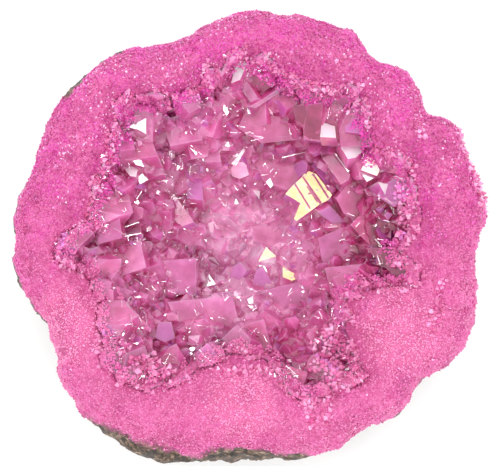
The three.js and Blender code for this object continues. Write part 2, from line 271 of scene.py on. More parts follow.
def to_mesh(name: str, shape: BMesh) -> Mesh:
    """Turn a bmesh into a mesh.

    Args:
        name: the mesh's name.
        shape: the bmesh, which is freed.

    Returns:
        The mesh.
    """
    mesh = bpy.data.meshes.new(name)
    shape.to_mesh(mesh)
    shape.free()
    return mesh


def surface_of(mesh: Mesh) -> BVHTree:
    """Make a search tree of a mesh's surface."""
    points = [vertex.co for vertex in mesh.vertices]
    return BVHTree.FromPolygons(points, [face.vertices for face in mesh.polygons])


def show(piece: Object, slot: str, *replaced: str) -> None:
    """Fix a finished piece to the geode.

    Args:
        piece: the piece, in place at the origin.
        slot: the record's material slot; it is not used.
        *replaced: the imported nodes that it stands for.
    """
    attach(piece, "root")
    if replaced:
        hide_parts(*replaced)
    piece.data.calc_loop_triangles()
    LOG.info("%s: %d triangles", piece.name, len(piece.data.loop_triangles))


# ---------------------------------------------------------------- finishes


@dataclass(frozen=True)
class CoatedRock:
    """Fine-grained quartz rock under an aura coating, and its bare weathered rind further down.

    The coating gives the grains a hot pink body; the rind is dull and grey-brown, as weathered stone is.
    """

    pinks: Stops = ((0.25, "A43C72"), (0.45, "C45690"), (0.6, "D0629C"), (0.8, "C0509A"))
    rinds: Stops = ((0.36, "120A07"), (0.45, "2E1F17"), (0.53, "56412F"), (0.6, "8A7260"), (0.68, "B8A090"))
    seat: str = "FFC4DE"  # painted light: the rock right under the crystals is painted pale, so that it lights their body from below
    painted_light_edge: float = 0.2 * MM  # how far in from the crystals' edge the painted light is full
    patch: float = 6 * MM  # size of the coating's colour patches
    grit: float = 0.7 * MM  # size of the rock's grains
    crust: float = 1.8 * MM  # size of the rind's own patches
    relief: float = 0.3 * MM  # height of the grains
    relief_strength: float = 0.7
    roughness: float = 0.6

    def material(self) -> Material:
        """Build the material.

        Returns:
            The material.
        """
        made, tree, shader = new_material("coated_rock")
        add = partial(add_node, tree)
        place = add("ShaderNodeTexCoord").outputs["Object"]
        patches = add("ShaderNodeTexNoise", {"Vector": place, "Scale": 1 / self.patch, "Detail": 4.0})
        grit = add("ShaderNodeTexNoise", {"Vector": place, "Scale": 1 / self.grit, "Detail": 3.0})
        crust = add("ShaderNodeTexNoise", {"Vector": place, "Scale": 1 / self.crust, "Detail": 5.0})
        mixed = add("ShaderNodeMix", {"Factor": 0.5, 2: grit, 3: crust})
        coating = add("ShaderNodeAttribute", attribute_name=Channel.COATING.value)
        rind = add("ShaderNodeValToRGB", {"Fac": mixed}, self.rinds)
        pink = add("ShaderNodeValToRGB", {"Fac": patches}, self.pinks)
        colours = {"Factor": coating.outputs["Fac"], 6: rind, 7: pink}
        colour = add("ShaderNodeMix", colours, data_type="RGBA").outputs[2]
        # painted light: a pale colour is mixed in under the crystals, to light their body from below
        way = add("ShaderNodeAttribute", attribute_name=Channel.CRYSTAL_DISTANCE.value).outputs["Fac"]
        under = add("ShaderNodeMapRange", {"Value": way, "From Min": 0.0, "From Max": -self.painted_light_edge})
        colours = {"Factor": under, 6: colour, 7: linear(self.seat)}
        with_painted_light = add("ShaderNodeMix", colours, data_type="RGBA").outputs[2]
        heights = {"Strength": self.relief_strength, "Distance": self.relief, "Height": mixed}
        surface = {
            "Base Color": with_painted_light,
            "Normal": add("ShaderNodeBump", heights),
            "Roughness": self.roughness,
            "IOR": QUARTZ_IOR,
        }
        connect(tree, shader, surface)
        return made


@dataclass(frozen=True)
class SugarDruse:
    """A druse of quartz grains under an aura coating.

    The grains are hot pink, with a metallic glitter that turns lilac in patches.
    """

    # the grains' own tones, whose palest end also paints glints on single grains
    tones: Stops = (
        (0.0, "AC3880"),
        (0.15, "C84890"),
        (0.5, "D05A9C"),
        (0.74, "DA6AA6"),
        (0.86, "D85CB4"),
        (0.95, "E088CA"),
        (1.0, "FCD0EC"),
    )
    even: str = "E07CB0"  # the grains' colour where they are most alike
    even_share: float = 0.75
    film: str = "E240B4"  # the coating's colour in the patches where it is thickest
    film_share: float = 0.7
    film_size: float = 5 * MM
    film_edge: tuple[float, float] = (0.45, 0.65)  # the noise between which a patch of film sets in
    patch: float = 7 * MM  # size of the patches with more lilac grains
    patch_share: float = 0.7  # how much a patch changes its grains' tones
    calm: tuple[float, float] = (-16 * MM, 8 * MM)  # along Y, where the grains go from even to lively
    calm_share: float = 0.4  # how much the even grains still differ
    calm_spots: tuple[tuple[float, float, float], ...] = (
        (31 * MM, -21 * MM, 10.5 * MM), (-2 * MM, -36 * MM, 9 * MM), (-38 * MM, -20 * MM, 9 * MM)
    )  # places along X and Y, and radii, where the grains are even and pale
    calm_core: float = 0.6  # the share of a spot's radius within which it is fully so
    pale: str = "F098C2"
    metallic: float = 0.3
    gloss: tuple[float, float] = (0.05, 0.5)  # the coat's weight on the palest and the liveliest grains
    gloss_roughness: float = 0.08
    roughness: float = 0.3

    def material(self) -> Material:
        """Build the material.

        Returns:
            The material.
        """
        made, tree, shader = new_material("sugar_druse")
        add = partial(add_node, tree)
        place = add("ShaderNodeTexCoord").outputs["Object"]
        patches = add("ShaderNodeTexNoise", {"Vector": place, "Scale": 1 / self.patch, "Detail": 4.0})
        tone = add("ShaderNodeAttribute", attribute_name=Channel.GRAIN_TONE.value).outputs["Fac"]
        swing = add(
            "ShaderNodeMath",
            {0: patches, 1: self.patch_share, 2: -0.5 * self.patch_share},
            operation="MULTIPLY_ADD",
        )
        shifted = add("ShaderNodeMath", {0: tone, 1: swing}, operation="ADD")
        apart = add("ShaderNodeMath", {0: shifted, 1: 0.5}, operation="SUBTRACT")
        along = add("ShaderNodeSeparateXYZ", {"Vector": place}).outputs["Y"]
        lively = add(
            "ShaderNodeMapRange",
            {"Value": along, "From Min": self.calm[0], "From Max": self.calm[1], "To Min": self.calm_share},
        )
        calm: Any = 0.0
        for x, y, radius in self.calm_spots:
            apart_from = add("ShaderNodeVectorMath", {0: place, 1: (x, y, 0)}, operation="SUBTRACT")
            level = add("ShaderNodeVectorMath", {0: apart_from, 1: (1, 1, 0)}, operation="MULTIPLY")
            away = add("ShaderNodeVectorMath", {0: level}, operation="LENGTH").outputs["Value"]
            inside = add(
                "ShaderNodeMapRange", {"Value": away, "From Min": radius, "From Max": self.calm_core * radius}
            )
            calm = add("ShaderNodeMath", {0: inside, 1: calm}, operation="MAXIMUM")
        spread = add("ShaderNodeMath", {0: apart, 1: lively, 2: 0.5}, operation="MULTIPLY_ADD")
        evenness = add(
            "ShaderNodeMapRange",
            {"Value": lively, "From Min": 1.0, "From Max": self.calm_share, "To Max": self.even_share},
        )
        colour = add(
            "ShaderNodeMix",
            {
                "Factor": evenness,
                6: add("ShaderNodeValToRGB", {"Fac": spread}, self.tones),
                7: linear(self.even),
            },
            data_type="RGBA",
        )
        films = add("ShaderNodeTexNoise", {"Vector": place, "Scale": 1 / self.film_size, "Detail": 3.0})
        thick = add(
            "ShaderNodeMapRange",
            {
                "Value": films,
                "From Min": self.film_edge[0],
                "From Max": self.film_edge[1],
                "To Max": self.film_share,
            },
        )
        filmed = add("ShaderNodeMath", {0: thick, 1: lively}, operation="MULTIPLY")
        coated = add(
            "ShaderNodeMix", {"Factor": filmed, 6: colour.outputs[2], 7: linear(self.film)}, data_type="RGBA"
        )
        calmed = add("ShaderNodeMath", {0: calm, 1: self.even_share}, operation="MULTIPLY")
        paled = add(
            "ShaderNodeMix", {"Factor": calmed, 6: coated.outputs[2], 7: linear(self.pale)}, data_type="RGBA"
        )
        gloss = add("ShaderNodeMapRange", {"Value": calm, "To Min": self.gloss[1], "To Max": self.gloss[0]})
        surface = {
            "Base Color": paled.outputs[2],
            "Metallic": self.metallic,
            "Roughness": self.roughness,
            "IOR": QUARTZ_IOR,
            "Coat Weight": gloss,
            "Coat Roughness": self.gloss_roughness,
        }
        connect(tree, shader, surface)
        return made


@dataclass(frozen=True)
class AuraQuartz:
    """Milky to clear quartz with natural crystal faces under a thin aura coating.

    The body is see-through pink, clouded in places. The faces are glassy and mirror the lights, some
    are etched or lined by growth, and the coating turns single faces violet or gold.
    """

    name: str = "aura_quartz"
    tones: Stops = (
        (0.0, "9A2058"), (0.2, "C44080"), (0.45, "DA6AA6"), (0.7, "F49CCC"), (0.9, "FFC8E2"), (1.0, "F6CCE0")
    )
    violet: str = "D478D8"
    golds: Stops = ((0.35, "FFD49C"), (0.52, "FFEAB4"), (0.66, "FFF6D4"))
    gold_metal: float = 0.8  # how metallic the gold film is
    # the pale colour of the painted highlight along the facets' edges
    edge: str = "FFDCEC"
    edge_highlight_share: float = 0.25  # how much the painted edge highlight shows
    edge_highlight_turn: tuple[float, float] = (0.995, 0.9)  # cosine of the turn where the painted edge highlight starts and is full
    absorbed: str = "F79CC8"
    absorption: float = 5.0  # per metre
    scatter_depth: float = 10 * MM  # how far light spreads in the milky body
    scatter_ratio: tuple[float, float, float] = (0.8, 0.8, 0.85)  # of its red, green and blue
    cloud: float = 3.5 * MM  # size of the clouds in the body
    cloud_share: float = 0.27  # how much the clouds change the tone
    relief: float = 0.06 * MM  # height of the growth lines and depth of the etch pits
    relief_strength: float = 0.6
    pit: float = 0.25 * MM  # size of the etch pits, coarser than real ones so that they show
    speck: float = 0.5 * MM  # size of the gaps in the gold film
    speck_edge: tuple[float, float] = (0.32, 0.36)  # the noise between which the film sets in
    edge_highlight_width: float = 0.1 * MM
    roughness: float = 0.1
    coat: float = 0.45  # weight of the aura coating
    coat_roughness: float = 0.03
    coat_ior: float = 1.6

    def material(self) -> Material:
        """Build the material.

        Returns:
            The material.
        """
        made, tree, shader = new_material(self.name)
        add = partial(add_node, tree)
        place = add("ShaderNodeTexCoord").outputs["Object"]
        read = {
            channel: add("ShaderNodeAttribute", attribute_name=channel.value)
            for channel in Channel
            if channel.value.startswith("facet")
        }
        clouds = add("ShaderNodeTexNoise", {"Vector": place, "Scale": 1 / self.cloud, "Detail": 3.0})
        drift = add(
            "ShaderNodeMath",
            {0: clouds, 1: 2 * self.cloud_share, 2: -self.cloud_share},
            operation="MULTIPLY_ADD",
        )
        tone = add("ShaderNodeMath", {0: read[Channel.FACET_TONE].outputs["Fac"], 1: drift})
        body = add("ShaderNodeValToRGB", {"Fac": tone}, self.tones)
        violet = add(
            "ShaderNodeMix",
            {"Factor": read[Channel.FACET_VIOLET].outputs["Fac"], 6: body, 7: linear(self.violet)},
            data_type="RGBA",
        )
        # painted highlight: the facets' edges, found by a rounded normal, are mixed towards a pale colour
        rounded = add("ShaderNodeBevel", {"Radius": self.edge_highlight_width}, samples=4)
        flat = add("ShaderNodeNewGeometry").outputs["True Normal"]
        turned = add("ShaderNodeVectorMath", {0: rounded, 1: flat}, operation="DOT_PRODUCT")
        edges = add(
            "ShaderNodeMapRange",
            {
                "Value": turned.outputs["Value"],
                "From Min": self.edge_highlight_turn[0],
                "From Max": self.edge_highlight_turn[1],
                "To Max": self.edge_highlight_share,
            },
        )
        edge_highlighted = add(
            "ShaderNodeMix", {"Factor": edges, 6: violet.outputs[2], 7: linear(self.edge)}, data_type="RGBA"
        )
        along = add(
            "ShaderNodeVectorMath",
            {0: place, 1: read[Channel.FACET_LINES].outputs["Vector"]},
            operation="DOT_PRODUCT",
        )
        lines = add(
            "ShaderNodeTexNoise",
            {"W": along.outputs["Value"], "Scale": 1.0, "Detail": 2.0},
            noise_dimensions="1D",
        )
        specks = add("ShaderNodeTexNoise", {"Vector": place, "Scale": 1 / self.speck, "Detail": 1.0})
        unmarked = add(
            "ShaderNodeMapRange",
            {"Value": specks, "From Min": self.speck_edge[0], "From Max": self.speck_edge[1]},
        )
        film = add(
            "ShaderNodeMath", {0: read[Channel.FACET_GOLD].outputs["Fac"], 1: unmarked}, operation="MULTIPLY"
        )
        gilded = add(
            "ShaderNodeMix",
            {"Factor": film, 6: edge_highlighted.outputs[2], 7: add("ShaderNodeValToRGB", {"Fac": clouds}, self.golds)},
            data_type="RGBA",
        )
        metal = add("ShaderNodeMath", {0: film, 1: self.gold_metal}, operation="MULTIPLY")
        clear = add(
            "ShaderNodeMath",
            {0: read[Channel.FACET_CLEAR].outputs["Fac"], 1: drift},
            operation="SUBTRACT",
            use_clamp=True,
        )
        pits = add("ShaderNodeTexNoise", {"Vector": place, "Scale": 1 / self.pit, "Detail": 2.0})
        etched = add(
            "ShaderNodeMath", {0: pits, 1: read[Channel.FACET_ETCH].outputs["Fac"]}, operation="MULTIPLY"
        )
        relief = add("ShaderNodeMath", {0: lines, 1: etched})
        heights = {"Strength": self.relief_strength, "Distance": self.relief, "Height": relief}
        bump = add("ShaderNodeBump", heights)
        surface = {
            "Base Color": gilded.outputs[2],
            "Metallic": metal,
            "Roughness": self.roughness,
            "IOR": QUARTZ_IOR,
            "Normal": bump,
            "Transmission Weight": clear,
            "Subsurface Weight": 1.0,
            "Subsurface Radius": self.scatter_ratio,
            "Subsurface Scale": self.scatter_depth,
            "Coat Weight": self.coat,
            "Coat Roughness": self.coat_roughness,
            "Coat IOR": self.coat_ior,
            "Coat Normal": bump,
        }
        connect(tree, shader, surface)
        haze = {"Color": linear(self.absorbed), "Density": self.absorption}
        volume = add("ShaderNodeVolumeAbsorption", haze)
        connect(tree, tree.nodes["Material Output"], {"Volume": volume})
        return made


# ---------------------------------------------------------------- studio


@dataclass(frozen=True)
class Lamp:
    """A square lamp that shines at the geode.

    Attributes:
        name: its name.
        place: where it stands.
        size: the length of its side.
        glow: its brightness, as a mirror would show it.
    """

    name: str
    place: Vector
    size: float
    glow: float

    def build(self) -> None:
        """Set the lamp."""
        data = bpy.data.lights.new(self.name, "AREA")
        data.size = self.size
        data.energy = self.glow * math.pi * self.size**2
        lamp = bpy.data.objects.new(self.name, data)
        lamp.location = self.place
        lamp.rotation_euler = (-self.place).to_track_quat("-Z", "Y").to_euler()
        bpy.context.scene.collection.objects.link(lamp)


@dataclass(frozen=True)
class Studio:
    """The plain floor, the soft lights and the camera that looks down on the geode.

    Attributes:
        rim_height: how high the rim is, where the view is measured.
    """

    rim_height: float
    elevation: float = math.radians(83)  # of the camera over the floor
    distance: float = 0.6  # of the camera from the rim
    pixel: float = 0.207 * MM  # what one pixel covers at the rim
    aim: tuple[float, float] = (-0.4 * MM, -0.7 * MM)  # where it looks, along X and Y
    sky: str = "FFFFFF"
    daylight: float = 1.4  # the sky's strength
    floor_size: float = 6.0
    paper: str = "FAFAFA"  # the floor's matt, even white, which shows nothing but shadows
    paper_roughness: float = 0.9
    lamps: tuple[Lamp, ...] = (
        Lamp("key_light", Vector((-0.35, 0.25, 0.7)), 0.07, 21),
        Lamp("side_light", Vector((0.45, -0.1, 0.6)), 0.07, 20),
        Lamp("front_light", Vector((0.05, -0.5, 0.6)), 0.07, 20),
        Lamp("back_light", Vector((0.15, 0.4, 0.7)), 0.06, 21),
        Lamp("left_light", Vector((-0.45, -0.12, 0.65)), 0.06, 21),
        Lamp("right_light", Vector((0.32, 0.22, 0.75)), 0.06, 21),
        Lamp("low_light", Vector((-0.2, -0.35, 0.75)), 0.06, 21),
    )

    def middle(self) -> Vector:
        """Give the point in the middle of the view."""
        return Vector((*self.aim, self.rim_height))

    def back(self) -> Vector:
        """Give the direction from the geode to the camera."""
        return Vector((0, -math.cos(self.elevation), math.sin(self.elevation)))

    def eye(self) -> Vector:
        """Give the camera's place."""
        return self.middle() + self.distance * self.back()

    def sight(self, across: float, up: float) -> Vector:
        """Give the point of the rim's level plane of view that lies right and up from its middle."""
        upward = Vector((0, math.sin(self.elevation), math.cos(self.elevation)))
        return self.middle() + Vector((across, 0, 0)) + upward * up

    def mirror(self, place: Vector, lamp: Lamp) -> Vector:
        """Give the normal that a face at a place needs to mirror a lamp to the camera."""
        return ((lamp.place - place).normalized() + (self.eye() - place).normalized()).normalized()

    def camera(self) -> None:
        """Set the camera that looks down on the geode's rim."""
        data = bpy.data.cameras.new("camera")
        data.sensor_width = 36.0
        data.lens = data.sensor_width * self.distance / (self.pixel * IMAGE_WIDTH)
        camera = bpy.data.objects.new("camera", data)
        camera.location = self.eye()
        camera.rotation_euler = (-self.back()).to_track_quat("-Z", "Y").to_euler()
        bpy.context.scene.collection.objects.link(camera)
        bpy.context.scene.camera = camera

    def build(self) -> None:
        """Set the floor, the world and the lamps."""
        world = bpy.data.worlds.new("studio")
        world.use_nodes = True
        background = world.node_tree.nodes["Background"]
        connect(world.node_tree, background, {"Color": linear(self.sky), "Strength": self.daylight})
        bpy.context.scene.world = world
        bpy.context.scene.view_settings.view_transform = "Standard"
        for lamp in self.lamps:
            lamp.build()
        bpy.ops.mesh.primitive_plane_add(size=self.floor_size)
        floor = bpy.context.object
        floor.name = "floor"
        paper, tree, shader = new_material("paper")
        connect(tree, shader, {"Base Color": linear(self.paper), "Roughness": self.paper_roughness})
        floor.data.materials.append(paper)
        floor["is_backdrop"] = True


# ---------------------------------------------------------------- shell and rim


@dataclass(frozen=True)
class BareSide:
    """A side of the shell where the coating ends higher up, so that the rind shows.

    Attributes:
        azimuth: the side's direction from +X.
        spread: how far to either side of it the coating is back to normal.
        end: the height where the coating ends there.
    """

    azimuth: float
    spread: float
    end: float


@dataclass
class GeodeShell:
    """The rock shell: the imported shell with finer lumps, pits and the limits of its coating."""

    finish: CoatedRock = field(default_factory=CoatedRock)
    levels: int = 2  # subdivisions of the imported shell
    lump: float = 4.5 * MM  # size of the lumps
    relief: float = 2.2 * MM  # height of the lumps, from the lowest to the highest
    pit: float = 3.4 * MM  # size of the pits
    pit_depth: float = 0.5 * MM
    pit_edge: tuple[float, float] = (0.4, 0.1)  # from a pit's middle, where it starts and is deepest
    crystal_clearance: tuple[float, float] = (0.5 * MM, 2.5 * MM)  # between which the relief sets in
    ground_clearance: float = 3 * MM  # height over which the relief fades towards the rest patch
    coating_end: float = 20 * MM
    coating_fade: float = 2.4 * MM
    coating_wander: float = 3 * MM  # how much the coating's end goes up and down
    outside: tuple[float, float] = (43 * MM, 45.5 * MM)  # from the axis, where the outer side starts
    outside_relief: float = 1.8  # how much rougher the outer side is
    bare_sides: tuple[BareSide, ...] = (
        BareSide(math.radians(258), math.radians(38), 30.8 * MM),
        BareSide(math.radians(134), math.radians(18), 33.0 * MM),
        BareSide(math.radians(180), math.radians(26), 28.5 * MM),
    )
    seat: float = 3 * MM  # how far over the rock the crystals' underside is looked for

    def tree(self, sizes: Sizes) -> NodeTree:
        """Build the tree that smooths the shell, roughens it and stores where it is coated.

        Args:
            sizes: its inputs.

        Returns:
            The tree.
        """
        tree, given = new_tree("shell_relief", sizes)
        add = partial(add_node, tree)
        smooth = add("GeometryNodeSubdivisionSurface", {"Mesh": given["Mesh"], "Level": given["Levels"]})
        crust = add("GeometryNodeObjectInfo", {"Object": given["Crust"]})
        near = add("GeometryNodeProximity", {0: crust.outputs["Geometry"]}).outputs["Distance"]
        covered = add(
            "GeometryNodeRaycast",
            {
                "Target Geometry": crust.outputs["Geometry"],
                "Ray Direction": tuple(UP),
                "Ray Length": self.seat,
            },
        )
        side = add(
            "ShaderNodeMath", {0: covered.outputs["Is Hit"], 1: -2.0, 2: 1.0}, operation="MULTIPLY_ADD"
        )
        way = add("ShaderNodeMath", {0: near, 1: side}, operation="MULTIPLY")
        place = add("GeometryNodeInputPosition")
        height = add("ShaderNodeSeparateXYZ", {"Vector": place}).outputs["Z"]
        lump_scale = add("ShaderNodeMath", {0: 1.0, 1: given["Lump"]}, operation="DIVIDE")
        lumps = add(
            "ShaderNodeTexNoise", {"Vector": place, "Scale": lump_scale, "Detail": 5.0, "Roughness": 0.6}
        )
        swing = add("ShaderNodeMath", {0: lumps, 1: 0.5}, operation="SUBTRACT")
        lifted = add("ShaderNodeMath", {0: swing, 1: given["Relief"]}, operation="MULTIPLY")
        pit_scale = add("ShaderNodeMath", {0: 1.0, 1: given["Pit"]}, operation="DIVIDE")
        cells = add("ShaderNodeTexVoronoi", {"Vector": place, "Scale": pit_scale})
        depth = add(
            "ShaderNodeMapRange",
            {
                "Value": cells.outputs["Distance"],
                "From Min": self.pit_edge[0],
                "From Max": self.pit_edge[1],
                "To Max": given["Pit Depth"],
            },
        )
        flat = add("ShaderNodeVectorMath", {0: place, 1: (1, 1, 0)}, operation="MULTIPLY")
        radius = add("ShaderNodeVectorMath", {0: flat}, operation="LENGTH").outputs["Value"]
        broken = add(
            "ShaderNodeMapRange",
            {
                "Value": radius,
                "From Min": self.outside[0],
                "From Max": self.outside[1],
                "To Min": 1.0,
                "To Max": self.outside_relief,
            },
        )
        uneven = add("ShaderNodeMath", {0: lifted, 1: broken}, operation="MULTIPLY")
        relief = add("ShaderNodeMath", {0: uneven, 1: depth}, operation="SUBTRACT")
        free = add(
            "ShaderNodeMapRange",
            {"Value": near, "From Min": self.crystal_clearance[0], "From Max": self.crystal_clearance[1]},
        )
        raised = add(
            "ShaderNodeMapRange", {"Value": height, "From Min": 0.0, "From Max": self.ground_clearance}
        )
        share = add("ShaderNodeMath", {0: free, 1: raised}, operation="MULTIPLY")
        rise = add("ShaderNodeMath", {0: relief, 1: share}, operation="MULTIPLY")
        normal = add("GeometryNodeInputNormal")
        offset = add("ShaderNodeVectorMath", {0: normal, "Scale": rise.outputs[0]}, operation="SCALE")
        geometry = smooth
        for channel, value in (
            (Channel.CRYSTAL_DISTANCE, way),
            (Channel.COATING, self.coating(tree, flat, radius, height, lumps)),
        ):
            geometry = add(
                "GeometryNodeStoreNamedAttribute",
                {"Geometry": geometry, "Name": channel.value, "Value": value},
                data_type="FLOAT",
                domain="POINT",
            )
        moved = add("GeometryNodeSetPosition", {"Geometry": geometry, "Offset": offset.outputs[0]})
        shaded = add("GeometryNodeSetShadeSmooth", {0: moved, "Shade Smooth": True})
        real = add("GeometryNodeRealizeInstances", {0: shaded})
        dressed = add("GeometryNodeSetMaterial", {"Geometry": real, "Material": given["Material"]})
        add("NodeGroupOutput", {0: dressed})
        return tree

    def coating(
        self, tree: NodeTree, flat: Node, radius: NodeSocket, height: NodeSocket, wander: Node
    ) -> Node:
        """Work out how far the coating covers the rock: 1 on the rim, 0 on the bare rind.

        Args:
            tree: the tree to add to.
            flat: the way from the axis.
            radius: its length.
            height: the height over the ground.
            wander: noise that makes the coating's end uneven.

        Returns:
            The node that gives the coating.
        """
        add = partial(add_node, tree)
        outside = add(
            "ShaderNodeMapRange", {"Value": radius, "From Min": self.outside[0], "From Max": self.outside[1]}
        )
        outward = add("ShaderNodeVectorMath", {0: flat}, operation="NORMALIZE")
        end: Any = self.coating_end
        for side in self.bare_sides:
            direction = (math.cos(side.azimuth), math.sin(side.azimuth), 0)
            facing = add("ShaderNodeVectorMath", {0: outward, 1: direction}, operation="DOT_PRODUCT")
            higher = add(
                "ShaderNodeMapRange",
                {
                    "Value": facing.outputs["Value"],
                    "From Min": math.cos(side.spread),
                    "From Max": math.cos(side.spread / 2),
                    "To Max": side.end - self.coating_end,
                },
            )
            end = add("ShaderNodeMath", {0: higher, 1: outside, 2: end}, operation="MULTIPLY_ADD")
        strayed = add(
            "ShaderNodeMath",
            {0: wander, 1: self.coating_wander, 2: -self.coating_wander / 2},
            operation="MULTIPLY_ADD",
        )
        level = add("ShaderNodeMath", {0: height, 1: strayed})
        over = add("ShaderNodeMath", {0: level, 1: end}, operation="SUBTRACT")
        return add("ShaderNodeMapRange", {"Value": over, "From Min": 0.0, "From Max": self.coating_fade})

    def build(self, packed: Object, crust: Object) -> Object:
        """Grow the shell.

        Args:
            packed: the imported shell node.
            crust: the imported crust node, for the way to the crystals.

        Returns:
            The shell's piece.
        """
        mesh = to_mesh("geode_rock", merged_copy(packed))
        sizes = {
            "Crust": ("Object", crust),
            "Levels": ("Int", self.levels),
            "Lump": ("Float", self.lump),
            "Relief": ("Float", self.relief),
            "Pit": ("Float", self.pit),
            "Pit Depth": ("Float", self.pit_depth),
            "Material": ("Material", self.finish.material()),
        }
        return grow("geode_rock", mesh, self.tree(sizes), sizes)


@dataclass
class RimSugar:
    """The sugar-like druse on the broken rim, thousands of quartz grains grown side by side."""

    spacing: float = 0.33 * MM  # closest that two grains grow
    density: float = 18e6  # grains tried per square metre
    size: tuple[float, float] = (0.24 * MM, 0.38 * MM)  # a grain's radius at its foot
    height_ratio: float = 1.0  # a grain's height, of its radius
    border: tuple[float, float] = (-0.1 * MM, 0.1 * MM)  # from the crystals, where the druse starts
    sides: tuple[float, float] = (28 * MM, 34 * MM)  # heights between which it gets full on the outside
    side_share: float = 0.25  # how dense it is below them
    seed: int = 7

    def tree(self, sizes: Sizes) -> NodeTree:
        """Build the tree that grows the grains on the shell.

        Args:
            sizes: its inputs.

        Returns:
            The tree.
        """
        tree, given = new_tree("rim_sugar", sizes)
        add = partial(add_node, tree)
        way = add(
            "GeometryNodeInputNamedAttribute", {"Name": Channel.CRYSTAL_DISTANCE.value}, data_type="FLOAT"
        )
        outside = add(
            "ShaderNodeMapRange", {"Value": way, "From Min": self.border[0], "From Max": self.border[1]}
        )
        coating = add("GeometryNodeInputNamedAttribute", {"Name": Channel.COATING.value}, data_type="FLOAT")
        place = add("GeometryNodeInputPosition")
        height = add("ShaderNodeSeparateXYZ", {"Vector": place}).outputs["Z"]
        above = add(
            "ShaderNodeMapRange",
            {
                "Value": height,
                "From Min": self.sides[0],
                "From Max": self.sides[1],
                "To Min": self.side_share,
            },
        )
        coated = add("ShaderNodeMath", {0: outside, 1: coating}, operation="MULTIPLY")
        share = add("ShaderNodeMath", {0: coated, 1: above}, operation="MULTIPLY")
        points = add(
            "GeometryNodeDistributePointsOnFaces",
            {
                "Mesh": given["Mesh"],
                "Distance Min": given["Spacing"],
                "Density Max": given["Density"],
                "Density Factor": share,
                "Seed": given["Seed"],
            },
            distribute_method="POISSON",
        )
        grain = add(
            "GeometryNodeMeshCone",
            {"Vertices": 4, "Radius Top": 0.0, "Radius Bottom": 1.0, "Depth": given["Height"]},
            fill_type="NGON",
        )
        turn = add(
            "FunctionNodeRandomValue",
            {0: (0.0, 0.0, 0.0), 1: (math.tau, math.tau, math.tau), "Seed": 1},
            data_type="FLOAT_VECTOR",
        )
        size = add(
            "FunctionNodeRandomValue",
            {2: given["Smallest"], 3: given["Largest"], "Seed": 2},
            data_type="FLOAT",
        )
        placed = add(
            "GeometryNodeInstanceOnPoints",
            {"Points": points, "Instance": grain, "Rotation": turn, "Scale": size.outputs[1]},
        )
        tone = add("FunctionNodeRandomValue", {2: 0.0, 3: 1.0, "Seed": 4}, data_type="FLOAT")
        toned = add(
            "GeometryNodeStoreNamedAttribute",
            {"Geometry": placed, "Name": Channel.GRAIN_TONE.value, "Value": tone.outputs[1]},
            data_type="FLOAT",
            domain="INSTANCE",
        )
        real = add("GeometryNodeRealizeInstances", {0: toned})
        dressed = add("GeometryNodeSetMaterial", {"Geometry": real, "Material": given["Material"]})
        add("NodeGroupOutput", {0: dressed})
        return tree

    def build(self, shell: Object, material: Material) -> Object:
        """Grow the druse on the shell's piece.

        Args:
            shell: the shell's piece.
            material: the grains' material.

        Returns:
            The druse's piece.
        """
        sizes = {
            "Spacing": ("Float", self.spacing),
            "Density": ("Float", self.density),
            "Smallest": ("Float", self.size[0]),
            "Largest": ("Float", self.size[1]),
            "Height": ("Float", self.height_ratio),
            "Seed": ("Int", self.seed),
            "Material": ("Material", material),
        }
        return grow("rim_sugar", shell.data.copy(), self.tree(sizes), sizes)


# ---------------------------------------------------------------- crystals


class Quartz:
    """The habit of a quartz crystal: a six-sided prism closed by six rhomb faces of uneven size."""

    SIDES = 6
    TIP_TILT = math.radians(51.8)  # of a tip face's normal from the crystal's axis
    SIDE_DISTANCE = (0.86, 1.08)  # of a prism face from the axis, of the half width
    TIP_SETBACK = (0.0, 0.5)  # of a tip face from the apex, of the half width
    OUTGROWN_SETBACK = (0.3, 1.5)  # further setback of the one tip face that has outgrown the others
    BLOCK_RATIO = 1.3  # half side of the block that the crystal is cleaved from, of the half width
    OUTGROWN_NORMAL = Vector((math.sin(TIP_TILT), 0, math.cos(TIP_TILT)))

    @classmethod
    def crystal(cls, half_width: float, length: float, root: float, random: np.random.Generator) -> BMesh:
        """Cleave one crystal along +Z.

        Args:
            half_width: the prism's radius.
            length: the height above the origin where the tip's faces would meet.
            root: how far the prism goes below the origin.
            random: where its unevenness comes from.

        Returns:
            The crystal's closed mesh.
        """
        crystal = bmesh.new()
        side = 2 * cls.BLOCK_RATIO * half_width
        stretch = Matrix.Diagonal((side, side, length + root, 1))
        block = Matrix.Translation((0, 0, (length - root) / 2)) @ stretch
        bmesh.ops.create_cube(crystal, size=1.0, matrix=block)
        for i in range(cls.SIDES):
            turn = math.tau * i / cls.SIDES
            outward = Vector((math.cos(turn), math.sin(turn), 0))
            cleave(crystal, outward * half_width * random.uniform(*cls.SIDE_DISTANCE), outward)
            setback = random.uniform(*cls.TIP_SETBACK)
            if i == 0:
                setback += random.uniform(*cls.OUTGROWN_SETBACK)
            tip = outward * math.sin(cls.TIP_TILT) + UP * math.cos(cls.TIP_TILT)
            cleave(crystal, Vector((0, 0, length - setback * half_width)), tip)
        bmesh.ops.recalc_face_normals(crystal, faces=crystal.faces)
        return crystal


def cleave(crystal: BMesh, point: Vector, normal: Vector) -> None:
    """Cut away what lies beyond a plane and close the cut with one flat face.

    Args:
        crystal: the closed mesh to cut.
        point: a place on the plane.
        normal: the way out of what stays.
    """
    whole = [*crystal.verts, *crystal.edges, *crystal.faces]
    cut = bmesh.ops.bisect_plane(
        crystal, geom=whole, dist=CUT_SLACK, plane_co=point, plane_no=normal, clear_outer=True
    )
    edges = [part for part in cut["geom_cut"] if isinstance(part, BMEdge)]
    if len(edges) > 2:
        bmesh.ops.edgeloop_fill(crystal, edges=edges)


